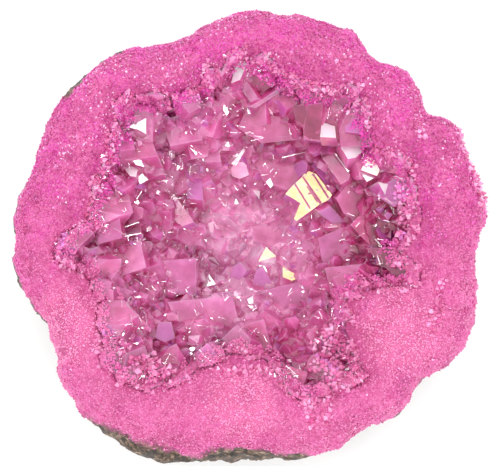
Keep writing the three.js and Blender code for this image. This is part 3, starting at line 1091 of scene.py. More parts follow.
@dataclass(frozen=True)
class Generation:
    """Crystals that fill the gaps between the ones before them.

    Attributes:
        tried: how many places are tried.
        half_width: the smallest and largest half width.
        reach: how far around a place its gap is measured.
        gap_depth: how much lower than around it a gap lies.
        lean: spread of the crystals' lean from the surface's normal.
        crowding: closest spacing of two crystals, of the sum of their half widths.
        mirrors: the share of crystals that turn their outgrown face so that it mirrors a lamp.
    """

    tried: int
    half_width: tuple[float, float]
    reach: float
    gap_depth: float
    lean: float
    crowding: float
    mirrors: float


@dataclass(frozen=True)
class Groundmass:
    """The intergrown quartz between the crystals, which fills their gaps with small uneven faces.

    Attributes:
        cell: the size of its faces.
        shift: how far a corner may stand off its place, of a cell.
        span: how many cells to each side its level is averaged over.
        rise: how far it lies above that level.
        unevenness: the spread of its corners' height.
        root: how deep it goes into the crystals below it.
    """

    cell: float = 1.3 * MM
    shift: float = 0.3
    span: int = 2
    rise: float = 0.5 * MM
    unevenness: float = 0.3 * MM
    root: float = 0.5 * MM

    def solid(self, surface: BVHTree, reach: float, random: np.random.Generator) -> BMesh:
        """Make the groundmass as one closed mesh.

        Args:
            surface: the crystals that it grows between.
            reach: how far from the middle they go.
            random: where its unevenness comes from.

        Returns:
            The closed mesh.
        """
        count = int(2 * reach / self.cell) + 1
        places = np.linspace(-reach, reach, count)
        shift = random.uniform(-self.shift, self.shift, (count, count, 2)) * self.cell
        height = np.full((count, count), np.nan)
        for i, j in np.ndindex(count, count):
            x, y = places[i] + shift[i, j, 0], places[j] + shift[i, j, 1]
            hit = surface.ray_cast(Vector((x, y, ABOVE_ALL)), DOWN)[0]
            if hit:
                height[i, j] = hit.z
        level, lowest = np.full_like(height, np.nan), np.full_like(height, np.nan)
        for i, j in np.ndindex(count, count):
            first_i, first_j = max(i - self.span, 0), max(j - self.span, 0)
            around = height[first_i : i + self.span + 1, first_j : j + self.span + 1]
            near = height[max(i - 1, 0) : i + 2, max(j - 1, 0) : j + 2]
            if around.size == (2 * self.span + 1) ** 2 and not np.isnan(around).any():
                level[i, j] = around.mean() + self.rise
                lowest[i, j] = near.min() - self.root
        level += random.normal(0, 1, level.shape) * self.unevenness
        level = np.maximum(level, lowest + self.root)
        corners = ~np.isnan(level)
        cells = corners[:-1, :-1] & corners[1:, :-1] & corners[:-1, 1:] & corners[1:, 1:]
        for i, j in np.ndindex(count - 2, count - 2):
            if cells[i, j] == cells[i + 1, j + 1] != cells[i, j + 1] == cells[i + 1, j]:
                cells[i : i + 2, j : j + 2] = False
        mass = bmesh.new()
        upper: dict[tuple[int, int], BMVert] = {}
        lower: dict[tuple[int, int], BMVert] = {}
        for i, j in np.argwhere(cells):
            ring = ((i, j), (i + 1, j), (i + 1, j + 1), (i, j + 1))
            for spot in ring:
                if spot not in upper:
                    x, y = places[spot[0]] + shift[spot][0], places[spot[1]] + shift[spot][1]
                    upper[spot] = mass.verts.new((x, y, level[spot]))
                    lower[spot] = mass.verts.new((x, y, lowest[spot]))
            turn = (i + j) % 2
            for corners_of in ((0, 1, 2), (0, 2, 3)):
                picked = [ring[(k + turn) % 4] for k in corners_of]
                mass.faces.new([upper[spot] for spot in picked])
                mass.faces.new([lower[spot] for spot in reversed(picked)])
        rim = [
            (a, b)
            for i, j in np.argwhere(cells)
            for a, b, (m, n) in (
                ((i, j), (i + 1, j), (i, j - 1)),
                ((i + 1, j), (i + 1, j + 1), (i + 1, j)),
                ((i + 1, j + 1), (i, j + 1), (i, j + 1)),
                ((i, j + 1), (i, j), (i - 1, j)),
            )
            if not (0 <= m < count - 1 and 0 <= n < count - 1 and cells[m, n])
        ]
        for a, b in rim:
            mass.faces.new((upper[a], lower[a], lower[b]))
            mass.faces.new((upper[a], lower[b], upper[b]))
        bmesh.ops.recalc_face_normals(mass, faces=mass.faces)
        return mass


@dataclass(frozen=True)
class EdgeGlints:
    """Bunches of narrow faces along the crystals' worn edges, each turned so that it mirrors a lamp.

    Attributes:
        bunches: how many bunches there are.
        crowd: the fewest and most faces in a bunch.
        spread: how far a bunch spreads.
        fan: how much its faces turn from the bunch's own direction, in radians.
        length: the shortest and longest face.
        width: the narrowest and widest face.
        lift: how far a face stands over the crystal in its middle.
        root: how deep it goes.
    """

    bunches: int = 330
    crowd: tuple[int, int] = (1, 6)
    spread: float = 1.1 * MM
    fan: float = 0.6
    length: tuple[float, float] = (0.3 * MM, 2.8 * MM)
    width: tuple[float, float] = (0.05 * MM, 0.15 * MM)
    lift: float = 0.1 * MM
    root: float = 0.8 * MM

    BOUND = 0.6  # the radius around a crystal's middle that holds it, of its length and height

    def grow(
        self, surface: BVHTree, reach: float, studio: Studio, random: np.random.Generator
    ) -> list[Grown]:
        """Make the crystals that have these faces.

        Args:
            surface: the crystals that they stand on.
            reach: how far from the middle they may stand.
            studio: where the camera and the lamps are.
            random: where their places and shapes come from.

        Returns:
            Each crystal's middle, radius and mesh.
        """
        grown: list[Grown] = []
        for _ in range(self.bunches):
            angle, away = math.tau * random.random(), reach * math.sqrt(random.random())
            middle = Vector((away * math.cos(angle), away * math.sin(angle), ABOVE_ALL))
            way = math.tau * random.random()
            lamp = studio.lamps[random.integers(len(studio.lamps))]
            for _ in range(random.integers(self.crowd[0], self.crowd[1] + 1)):
                start = middle + Vector((*(self.spread * random.normal(0, 1, 2)), 0))
                foot = surface.ray_cast(start, DOWN)[0]
                if foot is None:
                    continue
                normal = studio.mirror(foot, lamp)
                turn = way + random.normal(0, self.fan)
                along = Vector((math.cos(turn), math.sin(turn), 0))
                along = (along - normal * along.dot(normal)).normalized()
                length, width = random.uniform(*self.length), random.uniform(*self.width)
                frame = Matrix((along, normal.cross(along), normal)).transposed().to_4x4()
                block = Matrix.Diagonal((length, width, self.lift + self.root, 1))
                crystal = bmesh.new()
                bmesh.ops.create_cube(crystal, size=1.0, matrix=block)
                place = foot + normal * (self.lift - self.root) / 2
                crystal.transform(Matrix.Translation(place) @ frame)
                grown.append((place, self.BOUND * (length + self.lift + self.root), crystal))
        return grown


@dataclass(frozen=True)
class Zone:
    """A round part of the hollow that fades outwards.

    Attributes:
        place: its middle.
        radius: how far from there it has faded to about a third.
        tone: what it adds to the facets' tone.
    """

    place: tuple[float, float]
    radius: float
    tone: float = 0.0

    def share(self, x: np.ndarray, y: np.ndarray) -> np.ndarray:
        """Give how much of the zone's effect each place gets."""
        away = np.hypot(x - self.place[0], y - self.place[1]) / self.radius
        return np.exp(-(away**2))


class Look(Enum):
    """How a chosen facet looks: tone, clearness, violet, gold, etching, and growth lines per metre."""

    GOLD = (0.9, 0.0, 0.0, 1.0, 0.3, 0.0)
    # CREAM, WHITE and ETCHED faces are turned to mirror a lamp; their pale tone is a painted highlight on top
    # of that real reflection
    CREAM = (0.9, 0.1, 0.0, 0.5, 1.5, 0.0)
    WHITE = (0.9, 0.2, 0.0, 0.0, 0.15, 0.0)
    FROSTED = (0.7, 0.1, 0.0, 0.0, 1.6, 0.0)
    ETCHED = (0.9, 0.1, 0.0, 0.0, 0.5, 0.0)
    SPECKLED = (0.12, 0.2, 0.1, 0.0, 1.3, 0.0)
    # MILKY faces are pale greyish pink: partly a milky body, partly a painted reflection of grey surroundings
    MILKY = (1.1, 0.1, 0.0, 0.0, 0.0, 0.0)
    PALE = (0.5, 0.22, 0.0, 0.0, 0.0, 0.0)
    HAZE = (0.48, 0.26, 0.08, 0.0, 0.0, 0.0)
    BODY = (0.42, 0.26, 0.0, 0.0, 0.0, 0.0)
    MAUVE = (0.39, 0.26, 0.15, 0.0, 0.0, 0.0)
    ROSE = (0.34, 0.26, 0.0, 0.0, 0.0, 0.0)
    VIOLET = (0.35, 0.26, 0.45, 0.0, 0.0, 0.0)
    DARK = (0.1, 0.4, 0.0, 0.0, 0.0, 0.0)
    HOT = (0.3, 0.05, 0.0, 0.0, 0.0, 0.0)
    STRIATED = (0.5, 0.4, 0.0, 0.0, 0.0, 1200.0)


@dataclass(frozen=True)
class Facet:
    """One crystal face that stands out, with its outline as the camera sees it.

    Attributes:
        name: what it is.
        look: how it looks.
        facing: the lamp that it mirrors to the camera, or its tilt and the way that it tilts, in degrees.
        corners: right and up from the middle of the view, in mm.
        off: how far it is turned away from the lamp's mirror, in degrees.
    """

    name: str
    look: Look
    facing: str | tuple[float, float]
    corners: tuple[tuple[float, float], ...]
    off: float = 0.0

    LIFT = 0.15 * MM  # over the crystals that it is level with
    HIGHEST = 1.0 * MM  # that it rises over the crystal in its middle
    ROOT = 2.0 * MM  # how deep its crystal goes below the lowest one
    SPREAD = 1.1  # its crystal's foot, of the face

    def normal(self, studio: Studio, place: Vector) -> Vector:
        """Work out which way the face looks.

        Args:
            studio: where the camera and the lamps are.
            place: the face's middle.

        Returns:
            The face's normal.
        """
        if isinstance(self.facing, str):
            lamp = next(lamp for lamp in studio.lamps if lamp.name == self.facing)
            turned = Quaternion((0, 1, 0), math.radians(self.off))
            return turned @ studio.mirror(place, lamp)
        tilt, towards = (math.radians(angle) for angle in self.facing)
        across = math.sin(tilt)
        return Vector((across * math.cos(towards), across * math.sin(towards), math.cos(tilt)))

    def crystal(self, surface: BVHTree, level: float, studio: Studio) -> tuple[Vector, float, Vector, BMesh]:
        """Make the crystal that has this face.

        Args:
            surface: the crystals that it stands on.
            level: the share of the crystals under it that it covers.
            studio: where the camera and the lamps are.

        Returns:
            The face's middle, its radius, its normal and the crystal's closed mesh.
        """
        eye = studio.eye()
        ends = [studio.sight(across * MM, up * MM) for across, up in self.corners]
        centre = sum(ends, Vector()) / len(ends)
        samples = [centre, *ends, *((end + centre) / 2 for end in ends)]
        hits = [surface.ray_cast(eye, (end - eye).normalized())[0] for end in samples]
        hits = [hit for hit in hits if hit]
        place = hits[0]
        normal = self.normal(studio, place)
        heights = [(hit - place).dot(normal) for hit in hits]
        rise = min(float(np.quantile(heights, level)), self.HIGHEST) + self.LIFT
        over = place + normal * rise
        top = [eye + (end - eye) * ((over - eye).dot(normal) / (end - eye).dot(normal)) for end in ends]
        middle = sum(top, Vector()) / len(top)
        depth = max(rise - min(heights), 0) + self.ROOT
        foot = [middle + (corner - middle) * self.SPREAD - normal * depth for corner in top]
        crystal = bmesh.new()
        upper = [crystal.verts.new(point) for point in top]
        lower = [crystal.verts.new(point) for point in foot]
        crystal.faces.new(upper)
        crystal.faces.new(lower[::-1])
        for i in range(len(top)):
            crystal.faces.new((upper[i - 1], lower[i - 1], lower[i], upper[i]))
        bmesh.ops.recalc_face_normals(crystal, faces=crystal.faces)
        radius = max((corner - middle).length for corner in foot)
        LOG.info("facet %s: %.1f mm high", self.name, (max(heights) - heights[0]) / MM)
        return middle, radius, normal, crystal


BODY_FACETS = (
    Facet("upper_body", Look.BODY, (14, 300), (
        (-0.1, 26.3), (7.6, 29.6), (10.7, 27.5), (10.0, 19.3), (2.8, 18.6), (-2.2, 21.7),
    )),
    Facet("upper_right_body", Look.ROSE, (10, 220), (
        (10.7, 29.2), (19.8, 28.2), (20.2, 19.7), (15.2, 18.8), (11.5, 19.3),
    )),
    Facet("violet_block", Look.VIOLET, (16, 120), ((20.2, 26.9), (24.3, 26.3), (23.5, 20.5), (20.0, 20.9))),
    Facet("centre_body", Look.BODY, (8, 120), (
        (2.8, 18.0), (14.4, 18.6), (13.4, 14.5), (8.2, 8.9), (3.2, 10.6), (1.1, 15.1),
    )),
    Facet("right_body", Look.ROSE, (12, 300), (
        (21.0, 10.6), (26.6, 10.1), (30.5, 4.8), (26.0, 1.0), (19.8, 3.9), (18.1, 7.2),
    )),
    Facet("right_shelf", Look.MAUVE, (8, 180), (
        (14.4, -1.0), (20.0, 1.4), (26.4, 1.0), (29.3, -3.5), (21.0, -7.2), (15.2, -6.0),
    )),
    Facet("right_low_body", Look.BODY, (14, 200), (
        (15.8, -7.2), (27.2, -6.0), (29.7, -9.7), (21.0, -11.8), (16.9, -11.8),
    )),
    Facet("milky_fan", Look.HAZE, (10, 200), (
        (11.3, -1.4), (14.6, -2.7), (14.0, -9.7), (10.7, -9.5), (9.8, -5.2),
    )),
    Facet("low_middle_body", Look.MAUVE, (12, 260), (
        (2.0, -12.2), (10.7, -10.1), (13.6, -13.9), (9.0, -18.4), (2.8, -17.2),
    )),
    Facet("middle_body", Look.PALE, (8, 100), (
        (0.3, 1.4), (10.2, 1.4), (11.5, -1.9), (5.7, -3.1), (1.1, -1.4),
    )),
    Facet("left_mauve", Look.MAUVE, (12, 190), ((-32.6, 6.4), (-27.2, 7.5), (-26.2, -1.0), (-31.2, -2.3))),
    Facet("left_low_body", Look.PALE, (10, 180), (
        (-31.2, -2.3), (-22.5, -1.4), (-21.2, -7.2), (-26.6, -8.9), (-30.7, -6.0),
    )),
    Facet("wedge", Look.ROSE, (12, 160), (
        (-18.7, 7.7), (-15.6, 8.3), (-11.3, 2.3), (-13.8, 1.4), (-17.9, 4.8),
    )),
    Facet("violet_upper", Look.VIOLET, (16, 100), ((-12.9, 13.5), (-9.8, 14.3), (-9.4, 6.8), (-12.7, 7.2))),
    Facet("pale_upper", Look.PALE, (12, 110), ((-9.6, 19.3), (-6.3, 19.9), (-5.7, 14.7), (-9.0, 14.7))),
    Facet("milky_low", Look.HAZE, (10, 280), (
        (-16.7, -14.3), (-3.4, -13.0), (-1.8, -19.0), (-5.5, -22.6), (-14.2, -20.9),
    )),
    Facet("low_left_body", Look.MAUVE, (10, 250), (
        (-21.2, -6.0), (-10.9, -5.2), (-10.9, -12.6), (-18.3, -13.0), (-20.8, -10.6),
    )),
    Facet("low_shade", Look.ROSE, (14, 300), ((-1.6, -19.3), (3.2, -18.0), (4.9, -24.2), (-0.9, -25.5))),
    Facet("hot_left", Look.HOT, (25, 220), ((-34.9, -6.0), (-31.6, -5.0), (-31.2, -8.5), (-34.5, -9.7))),
    Facet("hot_left_low", Look.HOT, (25, 200), (
        (-31.4, -11.0), (-28.0, -11.8), (-28.0, -16.4), (-30.5, -15.1),
    )),
    Facet("left_upper_body", Look.ROSE, (16, 110), (
        (-26.6, 19.7), (-20.4, 20.1), (-18.7, 15.9), (-25.4, 15.1),
    )),
    Facet("upper_left_body", Look.PALE, (12, 100), (
        (-18.3, 23.8), (-10.0, 25.0), (-9.6, 19.3), (-16.2, 18.0),
    )),
    Facet("violet_right", Look.VIOLET, (24, 30), ((13.1, 13.9), (15.0, 15.5), (19.1, 9.9), (17.5, 8.1))),
)
ACCENT_FACETS = (
    Facet("gold", Look.GOLD, (6, 60), (
        (7.6, 8.1), (9.4, 10.1), (10.9, 11.4), (11.5, 12.2), (12.5, 12.8), (14.0, 12.2), (17.3, 7.9),
        (16.5, 6.8), (14.8, 6.0), (10.0, 2.5), (9.4, 2.9), (10.7, 6.2),
    )),
    Facet("speckled", Look.SPECKLED, "key_light", (
        (15.2, 15.5), (17.7, 16.4), (21.0, 12.2), (20.8, 11.0), (19.1, 10.1),
    ), 1.5),
    Facet("rose_block", Look.DARK, (26, 230), ((12.1, 26.5), (15.4, 26.9), (14.8, 19.3), (11.3, 19.5))),
    Facet("dark_block", Look.DARK, (25, 180), ((9.2, 26.5), (12.3, 26.5), (11.5, 22.4), (9.8, 23.2))),
    Facet("milky_block", Look.MILKY, (20, 120), ((15.2, 23.0), (17.9, 22.1), (18.1, 19.7), (14.8, 19.9))),
    Facet("milky_right", Look.MILKY, (20, 80), (
        (18.5, 18.6), (20.0, 19.5), (24.1, 17.6), (22.5, 15.7), (20.6, 15.3),
    )),
    Facet("cream_right", Look.CREAM, "back_light", (
        (24.5, 15.7), (25.6, 15.9), (27.2, 13.0), (26.6, 11.8), (23.3, 13.0),
    )),
    Facet("white_right", Look.WHITE, "back_light", ((23.3, 12.6), (26.4, 11.6), (24.5, 10.6))),
    Facet("milky_small", Look.MILKY, (25, 20), ((26.8, 10.6), (28.9, 10.1), (28.3, 7.9))),
    Facet("milky_left", Look.MILKY, (20, 100), (
        (-25.6, 13.2), (-24.3, 13.9), (-22.9, 13.2), (-23.3, 11.6), (-24.5, 11.8),
    )),
    Facet("red_top", Look.DARK, (30, 250), ((-0.1, 32.3), (4.0, 32.7), (5.3, 30.8), (2.8, 29.0))),
    Facet("milky_top", Look.MILKY, (25, 170), ((-2.6, 35.8), (-0.1, 35.4), (-1.8, 31.7), (-3.6, 31.0))),
    Facet("striated_top", Look.STRIATED, (28, 185), ((-2.0, 30.8), (-0.5, 31.7), (2.0, 27.9), (0.3, 27.1))),
    Facet("bar_top", Look.BODY, (35, 120), ((-0.5, 26.9), (5.5, 30.8), (6.3, 30.4), (0.1, 26.3))),
    Facet("bar_low", Look.PALE, (40, 300), ((0.3, 26.1), (6.7, 30.2), (7.8, 30.0), (1.6, 25.9))),
    Facet("magenta_top", Look.HOT, (25, 200), ((-1.8, 27.7), (-0.7, 27.7), (-0.1, 26.1), (-1.1, 26.1))),
    Facet("glint_top", Look.WHITE, "front_light", ((-0.3, 25.9), (1.6, 24.8), (-0.1, 24.6))),
    Facet("glint_top_left", Look.WHITE, "key_light", (
        (-5.1, 26.7), (-4.0, 25.0), (-4.5, 24.2), (-5.3, 25.5),
    )),
    Facet("glint_high", Look.WHITE, "side_light", ((1.6, 33.9), (2.8, 33.7), (2.2, 33.3))),
    Facet("white_left", Look.ETCHED, "key_light", (
        (-25.2, 21.9), (-21.2, 23.8), (-21.2, 20.5), (-23.1, 21.5),
    )),
    Facet("teardrop", Look.HOT, (26, 20), (
        (-28.7, 19.7), (-27.8, 22.6), (-27.0, 23.0), (-26.4, 21.1), (-27.0, 19.3),
    )),
    Facet("white_left_second", Look.WHITE, "left_light", (
        (-24.3, 15.5), (-22.3, 15.1), (-21.6, 13.7), (-23.3, 14.1),
    )),
    Facet("white_left_third", Look.WHITE, "front_light", (
        (-22.9, 11.6), (-22.0, 12.4), (-20.8, 11.0), (-22.5, 10.1),
    )),
    Facet("white_left_low", Look.WHITE, "low_light", ((-29.5, 13.2), (-28.0, 12.4), (-28.9, 12.0))),
    Facet("gold_middle", Look.GOLD, (9, 200), ((2.0, -6.0), (3.6, -2.9), (5.7, -4.8))),
    Facet("cream_middle", Look.GOLD, (13, 320), ((7.1, -7.0), (10.7, -9.1), (9.0, -9.9), (7.1, -9.1))),
    Facet("white_middle", Look.WHITE, "key_light", ((-9.8, -11.4), (-8.2, -8.5), (-6.7, -10.6))),
    Facet("white_middle_left", Look.WHITE, "left_light", ((-8.6, -5.0), (-7.3, -5.0), (-6.1, -6.6))),
    Facet("white_middle_right", Look.WHITE, "back_light", ((2.0, -6.6), (3.4, -6.8), (4.0, -8.3))),
    Facet("lilac_middle", Look.PALE, (12, 10), ((-7.8, -13.0), (-6.7, -12.4), (-5.7, -13.2), (-6.7, -13.9))),
    Facet("violet_middle", Look.VIOLET, (22, 190), (
        (-4.2, -10.1), (-3.4, -7.2), (-1.8, -6.0), (-0.5, -7.7), (-2.6, -11.2),
    )),
    Facet("violet_middle_right", Look.VIOLET, (20, 280), (
        (0.9, -10.3), (1.6, -7.7), (3.0, -7.2), (4.9, -10.3), (2.8, -11.2),
    )),
    Facet("white_low", Look.WHITE, "low_light", ((-0.3, -14.9), (0.9, -15.1), (1.1, -16.1))),
    Facet("cream_low", Look.ETCHED, "side_light", ((-0.3, -13.7), (0.9, -13.0), (1.1, -14.7), (0.1, -14.7))),
    Facet("dark_left", Look.SPECKLED, "key_light", (
        (-24.9, 3.5), (-23.7, 5.6), (-21.8, 5.2), (-22.0, 3.1), (-24.7, 1.9),
    ), 4),
    Facet("white_upper", Look.ETCHED, "left_light", ((-3.6, 14.3), (-1.1, 17.4), (-0.7, 17.0), (-2.6, 13.9))),
    Facet("etched_upper", Look.FROSTED, "left_light", (
        (-3.6, 13.5), (-2.2, 15.5), (-0.5, 14.1), (0.1, 12.0), (-1.8, 11.2), (-3.4, 11.8),
    ), 3),
    Facet("white_upper_small", Look.WHITE, "back_light", ((-4.9, 18.0), (-4.2, 19.0), (-3.8, 17.8))),
    Facet("white_upper_left", Look.WHITE, "low_light", ((-12.1, 17.6), (-10.5, 16.6), (-10.9, 16.1))),
    Facet("white_upper_far", Look.WHITE, "side_light", ((-9.8, 15.5), (-8.8, 15.1), (-9.0, 14.5))),
    Facet("white_centre", Look.WHITE, "front_light", ((-3.0, 6.0), (-2.6, 7.2), (-2.0, 6.0))),
    Facet("white_centre_right", Look.WHITE, "right_light", (
        (3.6, 10.6), (4.5, 11.4), (5.1, 9.9), (4.5, 9.3),
    )),
    Facet("milky_centre", Look.MILKY, (14, 180), ((0.9, 8.9), (2.4, 8.7), (2.2, 7.0))),
    Facet("grey_low", Look.SPECKLED, "low_light", (
        (-26.2, -30.0), (-23.9, -26.7), (-22.7, -29.2), (-23.7, -31.3),
    ), 3),
    Facet("dark_low", Look.SPECKLED, "low_light", (
        (-22.7, -22.6), (-21.4, -21.7), (-18.7, -25.7), (-20.0, -25.9), (-21.8, -24.6),
    ), 5),
    Facet("violet_low", Look.VIOLET, (18, 110), (
        (-19.4, -21.7), (-18.7, -18.4), (-16.0, -18.4), (-15.2, -21.7), (-17.3, -22.6),
    )),
    Facet("violet_flat", Look.VIOLET, (26, 300), ((14.4, 4.3), (16.9, 5.6), (20.0, 2.3), (17.5, 1.9))),
    Facet("red_right", Look.DARK, (32, 160), ((28.9, 12.6), (32.0, 14.5), (32.2, 12.0))),
    Facet("milky_right_low", Look.MILKY, (20, 40), ((30.1, 11.8), (32.4, 12.0), (31.8, 11.0))),
    # painted shade: a dark facet where the hollow has a shaded cavity
    Facet("painted_shade_cavity", Look.DARK, (24, 150), (
        (24.3, -3.1), (29.7, -3.1), (33.0, -6.4), (33.6, -9.7), (29.7, -8.5),
    )),
)
LINE_FACETS = (
    Facet("gold_line_first", Look.ROSE, (6, 60), (
        (9.42, 10.14), (9.73, 10.35), (12.94, 5.17), (12.63, 4.97),
    )),
    Facet("gold_line_middle", Look.ROSE, (6, 60), (
        (11.07, 11.59), (11.38, 11.80), (15.21, 6.31), (14.70, 6.00),
    )),
    Facet("gold_line_thin", Look.ROSE, (6, 60), ((11.90, 9.73), (12.11, 9.83), (14.39, 6.42), (14.18, 6.31))),
    Facet("gold_line_last", Look.ROSE, (6, 60), (
        (13.14, 12.21), (13.46, 12.42), (16.77, 7.35), (16.46, 7.04),
    )),
    Facet("speckled_edge", Look.WHITE, "right_light", (
        (17.70, 16.56), (17.97, 16.56), (20.80, 12.83), (20.60, 12.52),
    )),
    Facet("line_left", Look.WHITE, "front_light", (
        (-26.60, 0.99), (-22.67, 2.32), (-22.60, 2.15), (-26.54, 0.83),
    )),
    Facet("line_left_low", Look.WHITE, "front_light", (
        (-28.26, -1.03), (-22.25, 0.00), (-22.19, -0.17), (-28.19, -1.22),
    )),
    Facet("line_upper", Look.WHITE, "back_light", (
        (6.93, 15.69), (11.70, 16.81), (11.74, 16.66), (6.98, 15.52),
    )),
)


@dataclass
class CrystalCrust:
    """The crust of quartz crystals in the hollow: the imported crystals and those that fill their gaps."""

    finish: AuraQuartz = field(default_factory=AuraQuartz)
    generations: tuple[Generation, ...] = (
        Generation(1200, (2.0 * MM, 3.4 * MM), 4.2 * MM, 0.6 * MM, 0.25, 0.7, 0.0),
        Generation(2200, (1.0 * MM, 2.0 * MM), 2.6 * MM, 0.4 * MM, 0.35, 0.75, 0.03),
        Generation(1700, (0.3 * MM, 0.7 * MM), 1.5 * MM, 0.25 * MM, 0.5, 1.2, 0.2),
        Generation(900, (0.18 * MM, 0.35 * MM), 1.0 * MM, 0.05 * MM, 0.5, 3.0, 0.9),
    )
    groundmass: Groundmass = Groundmass()
    glints: EdgeGlints = EdgeGlints()
    fill: tuple[float, float] = (0.6, 0.95)  # a crystal's length, of its gap's depth
    shortest: float = 0.9  # a crystal's length, of its half width
    root: float = 1.5  # how deep a crystal's root goes, of its half width
    tone: tuple[float, float] = (0.46, 0.05)  # the facets' middle tone and its spread
    clear: tuple[float, float] = (0.24, 0.08)  # the facets' middle clearness and its spread
    violets: tuple[float, float, float] = (0.06, 0.2, 0.7)  # their share, and the least and most violet
    etched: tuple[float, float, float] = (0.35, 0.5, 2.5)  # their share, and the least and most etched
    lined: tuple[float, float, float] = (0.4, 1500, 4000)  # their share, and the fewest and most per metre
    across_lines: tuple[float, float, float] = (0.82, -0.57, 0.0)  # for the chosen facets
    largest_mirror: float = 3 * MM**2  # facets over this are etched where they would mirror a lamp
    mirror_spread: float = math.radians(5)  # how near to a mirror's normal theirs has to be
    mirror_etch: float = 4.0  # how much they are etched
    bodies: tuple[Facet, ...] = BODY_FACETS  # large faces, under the small crystals
    body_level: float = 0.45  # the share of the crystals under a body facet that it covers
    accent_level: float = 0.95  # the same for an accent
    painted_light_width: float = 2.4 * MM  # how far from the rock the facets are painted lighter, against the shade in the gap there
    painted_light_tone: float = 0.7  # the painted-light tone that they turn to
    border_depth: float = 1.5 * MM  # how far from the rock they have the druse's material
    accents: tuple[tuple[Facet, ...], ...] = (ACCENT_FACETS, LINE_FACETS)  # small faces over them
    quiet: tuple[Zone, ...] = (  # where few small crystals grow
        Zone((8 * MM, 17 * MM), 9 * MM),
        Zone((9 * MM, -3 * MM), 7 * MM),
        Zone((-6 * MM, -17 * MM), 8 * MM),
        Zone((21 * MM, 4 * MM), 6 * MM),
    )
    tone_and_painted_light_zones: tuple[Zone, ...] = (  # where the crystals' body is painted lighter or darker: painted light in the middle of the hollow, painted shade towards its edges and in the shaded cavity on the right, partly also their own tone
        Zone((1 * MM, -3 * MM), 15 * MM, 0.26),
        Zone((-6 * MM, -17 * MM), 9 * MM, 0.1),
        Zone((28 * MM, -2 * MM), 12 * MM, -0.5),
        Zone((12 * MM, 27 * MM), 14 * MM, -0.2),
        Zone((-25 * MM, 3 * MM), 11 * MM, -0.1),
        Zone((4 * MM, -24 * MM), 6 * MM, -0.2),
        Zone((-16 * MM, -24 * MM), 9 * MM, -0.16),
        Zone((16 * MM, -26 * MM), 11 * MM, -0.2),
    )
    seed: int = 41

    UPWARD = 0.7  # how much a crystal leans up, against 1 for the surface's normal
    MIDDLE = 3  # a crystal's middle is this part of its length up
    BEYOND = 2 * MM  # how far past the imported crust's half width places are tried
    RING = 6  # how many places around a gap its depth is measured at
    SAME_PLACE = 0.05 * MM  # faces of one facet lie in one plane to within this
    SAME_WAY = 50  # and their normals to within one over this
    FACET_DEPTH = 0.02 * MM  # a chosen facet's faces lie in its plane to within this
    FACET_COSINE = 0.999  # and their normals' cosine to its own is over this

    def fill_gaps(
        self,
        surface: BVHTree,
        reach: float,
        generation: Generation,
        studio: Studio,
        random: np.random.Generator,
    ) -> list[Grown]:
        """Grow one generation of crystals in the gaps that a surface has.

        Args:
            surface: the crystals so far.
            reach: how far from the middle they may grow.
            generation: how they grow.
            studio: where the lamps are.
            random: where their places and shapes come from.

        Returns:
            Each crystal's middle, radius and mesh.
        """
        grown: list[Grown] = []
        feet: list[tuple[Vector, float]] = []
        smallest, largest = generation.half_width
        ring = [
            generation.reach * Vector((math.cos(turn), math.sin(turn), 0))
            for turn in (math.tau * i / self.RING for i in range(self.RING))
        ]
        for _ in range(generation.tried):
            angle, away = math.tau * random.random(), reach * math.sqrt(random.random())
            size, spin, ratio = random.random(3)
            lean = Vector((*(generation.lean * random.normal(0, 1, 2)), self.UPWARD))
            start = Vector((away * math.cos(angle), away * math.sin(angle), ABOVE_ALL))
            if sum(zone.share(start.x, start.y) for zone in self.quiet) > random.random():
                continue
            foot, normal, _, _ = surface.ray_cast(start, DOWN)
            if foot is None:
                continue
            around = [hit.z for hit in (surface.ray_cast(start + way, DOWN)[0] for way in ring) if hit]
            depth = sum(around) / len(around) - foot.z if around else 0
            half_width = smallest + (largest - smallest) * size**2
            crowded = any(
                (foot - other).length < generation.crowding * (half_width + width) for other, width in feet
            )
            if depth < generation.gap_depth or crowded:
                continue
            length = max(
                self.shortest * half_width, depth * (self.fill[0] + (self.fill[1] - self.fill[0]) * ratio)
            )
            length += half_width
            direction = (normal + lean).normalized()
            crystal = Quartz.crystal(half_width, length, self.root * half_width, random)
            turn = direction.to_track_quat("Z", "X") @ Quaternion((0, 0, 1), math.tau * spin)
            if random.random() < generation.mirrors:
                lamp = studio.lamps[random.integers(len(studio.lamps))]
                facing = studio.mirror(foot, lamp)
                tilted = Quartz.OUTGROWN_NORMAL.rotation_difference(facing)
                turn = Quaternion(facing, math.tau * spin) @ tilted
            crystal.transform(Matrix.Translation(foot) @ turn.to_matrix().to_4x4())
            radius = 0.5 * length + Quartz.BLOCK_RATIO * half_width
            grown.append((foot + direction * length / self.MIDDLE, radius, crystal))
            feet.append((foot, half_width))
        return grown

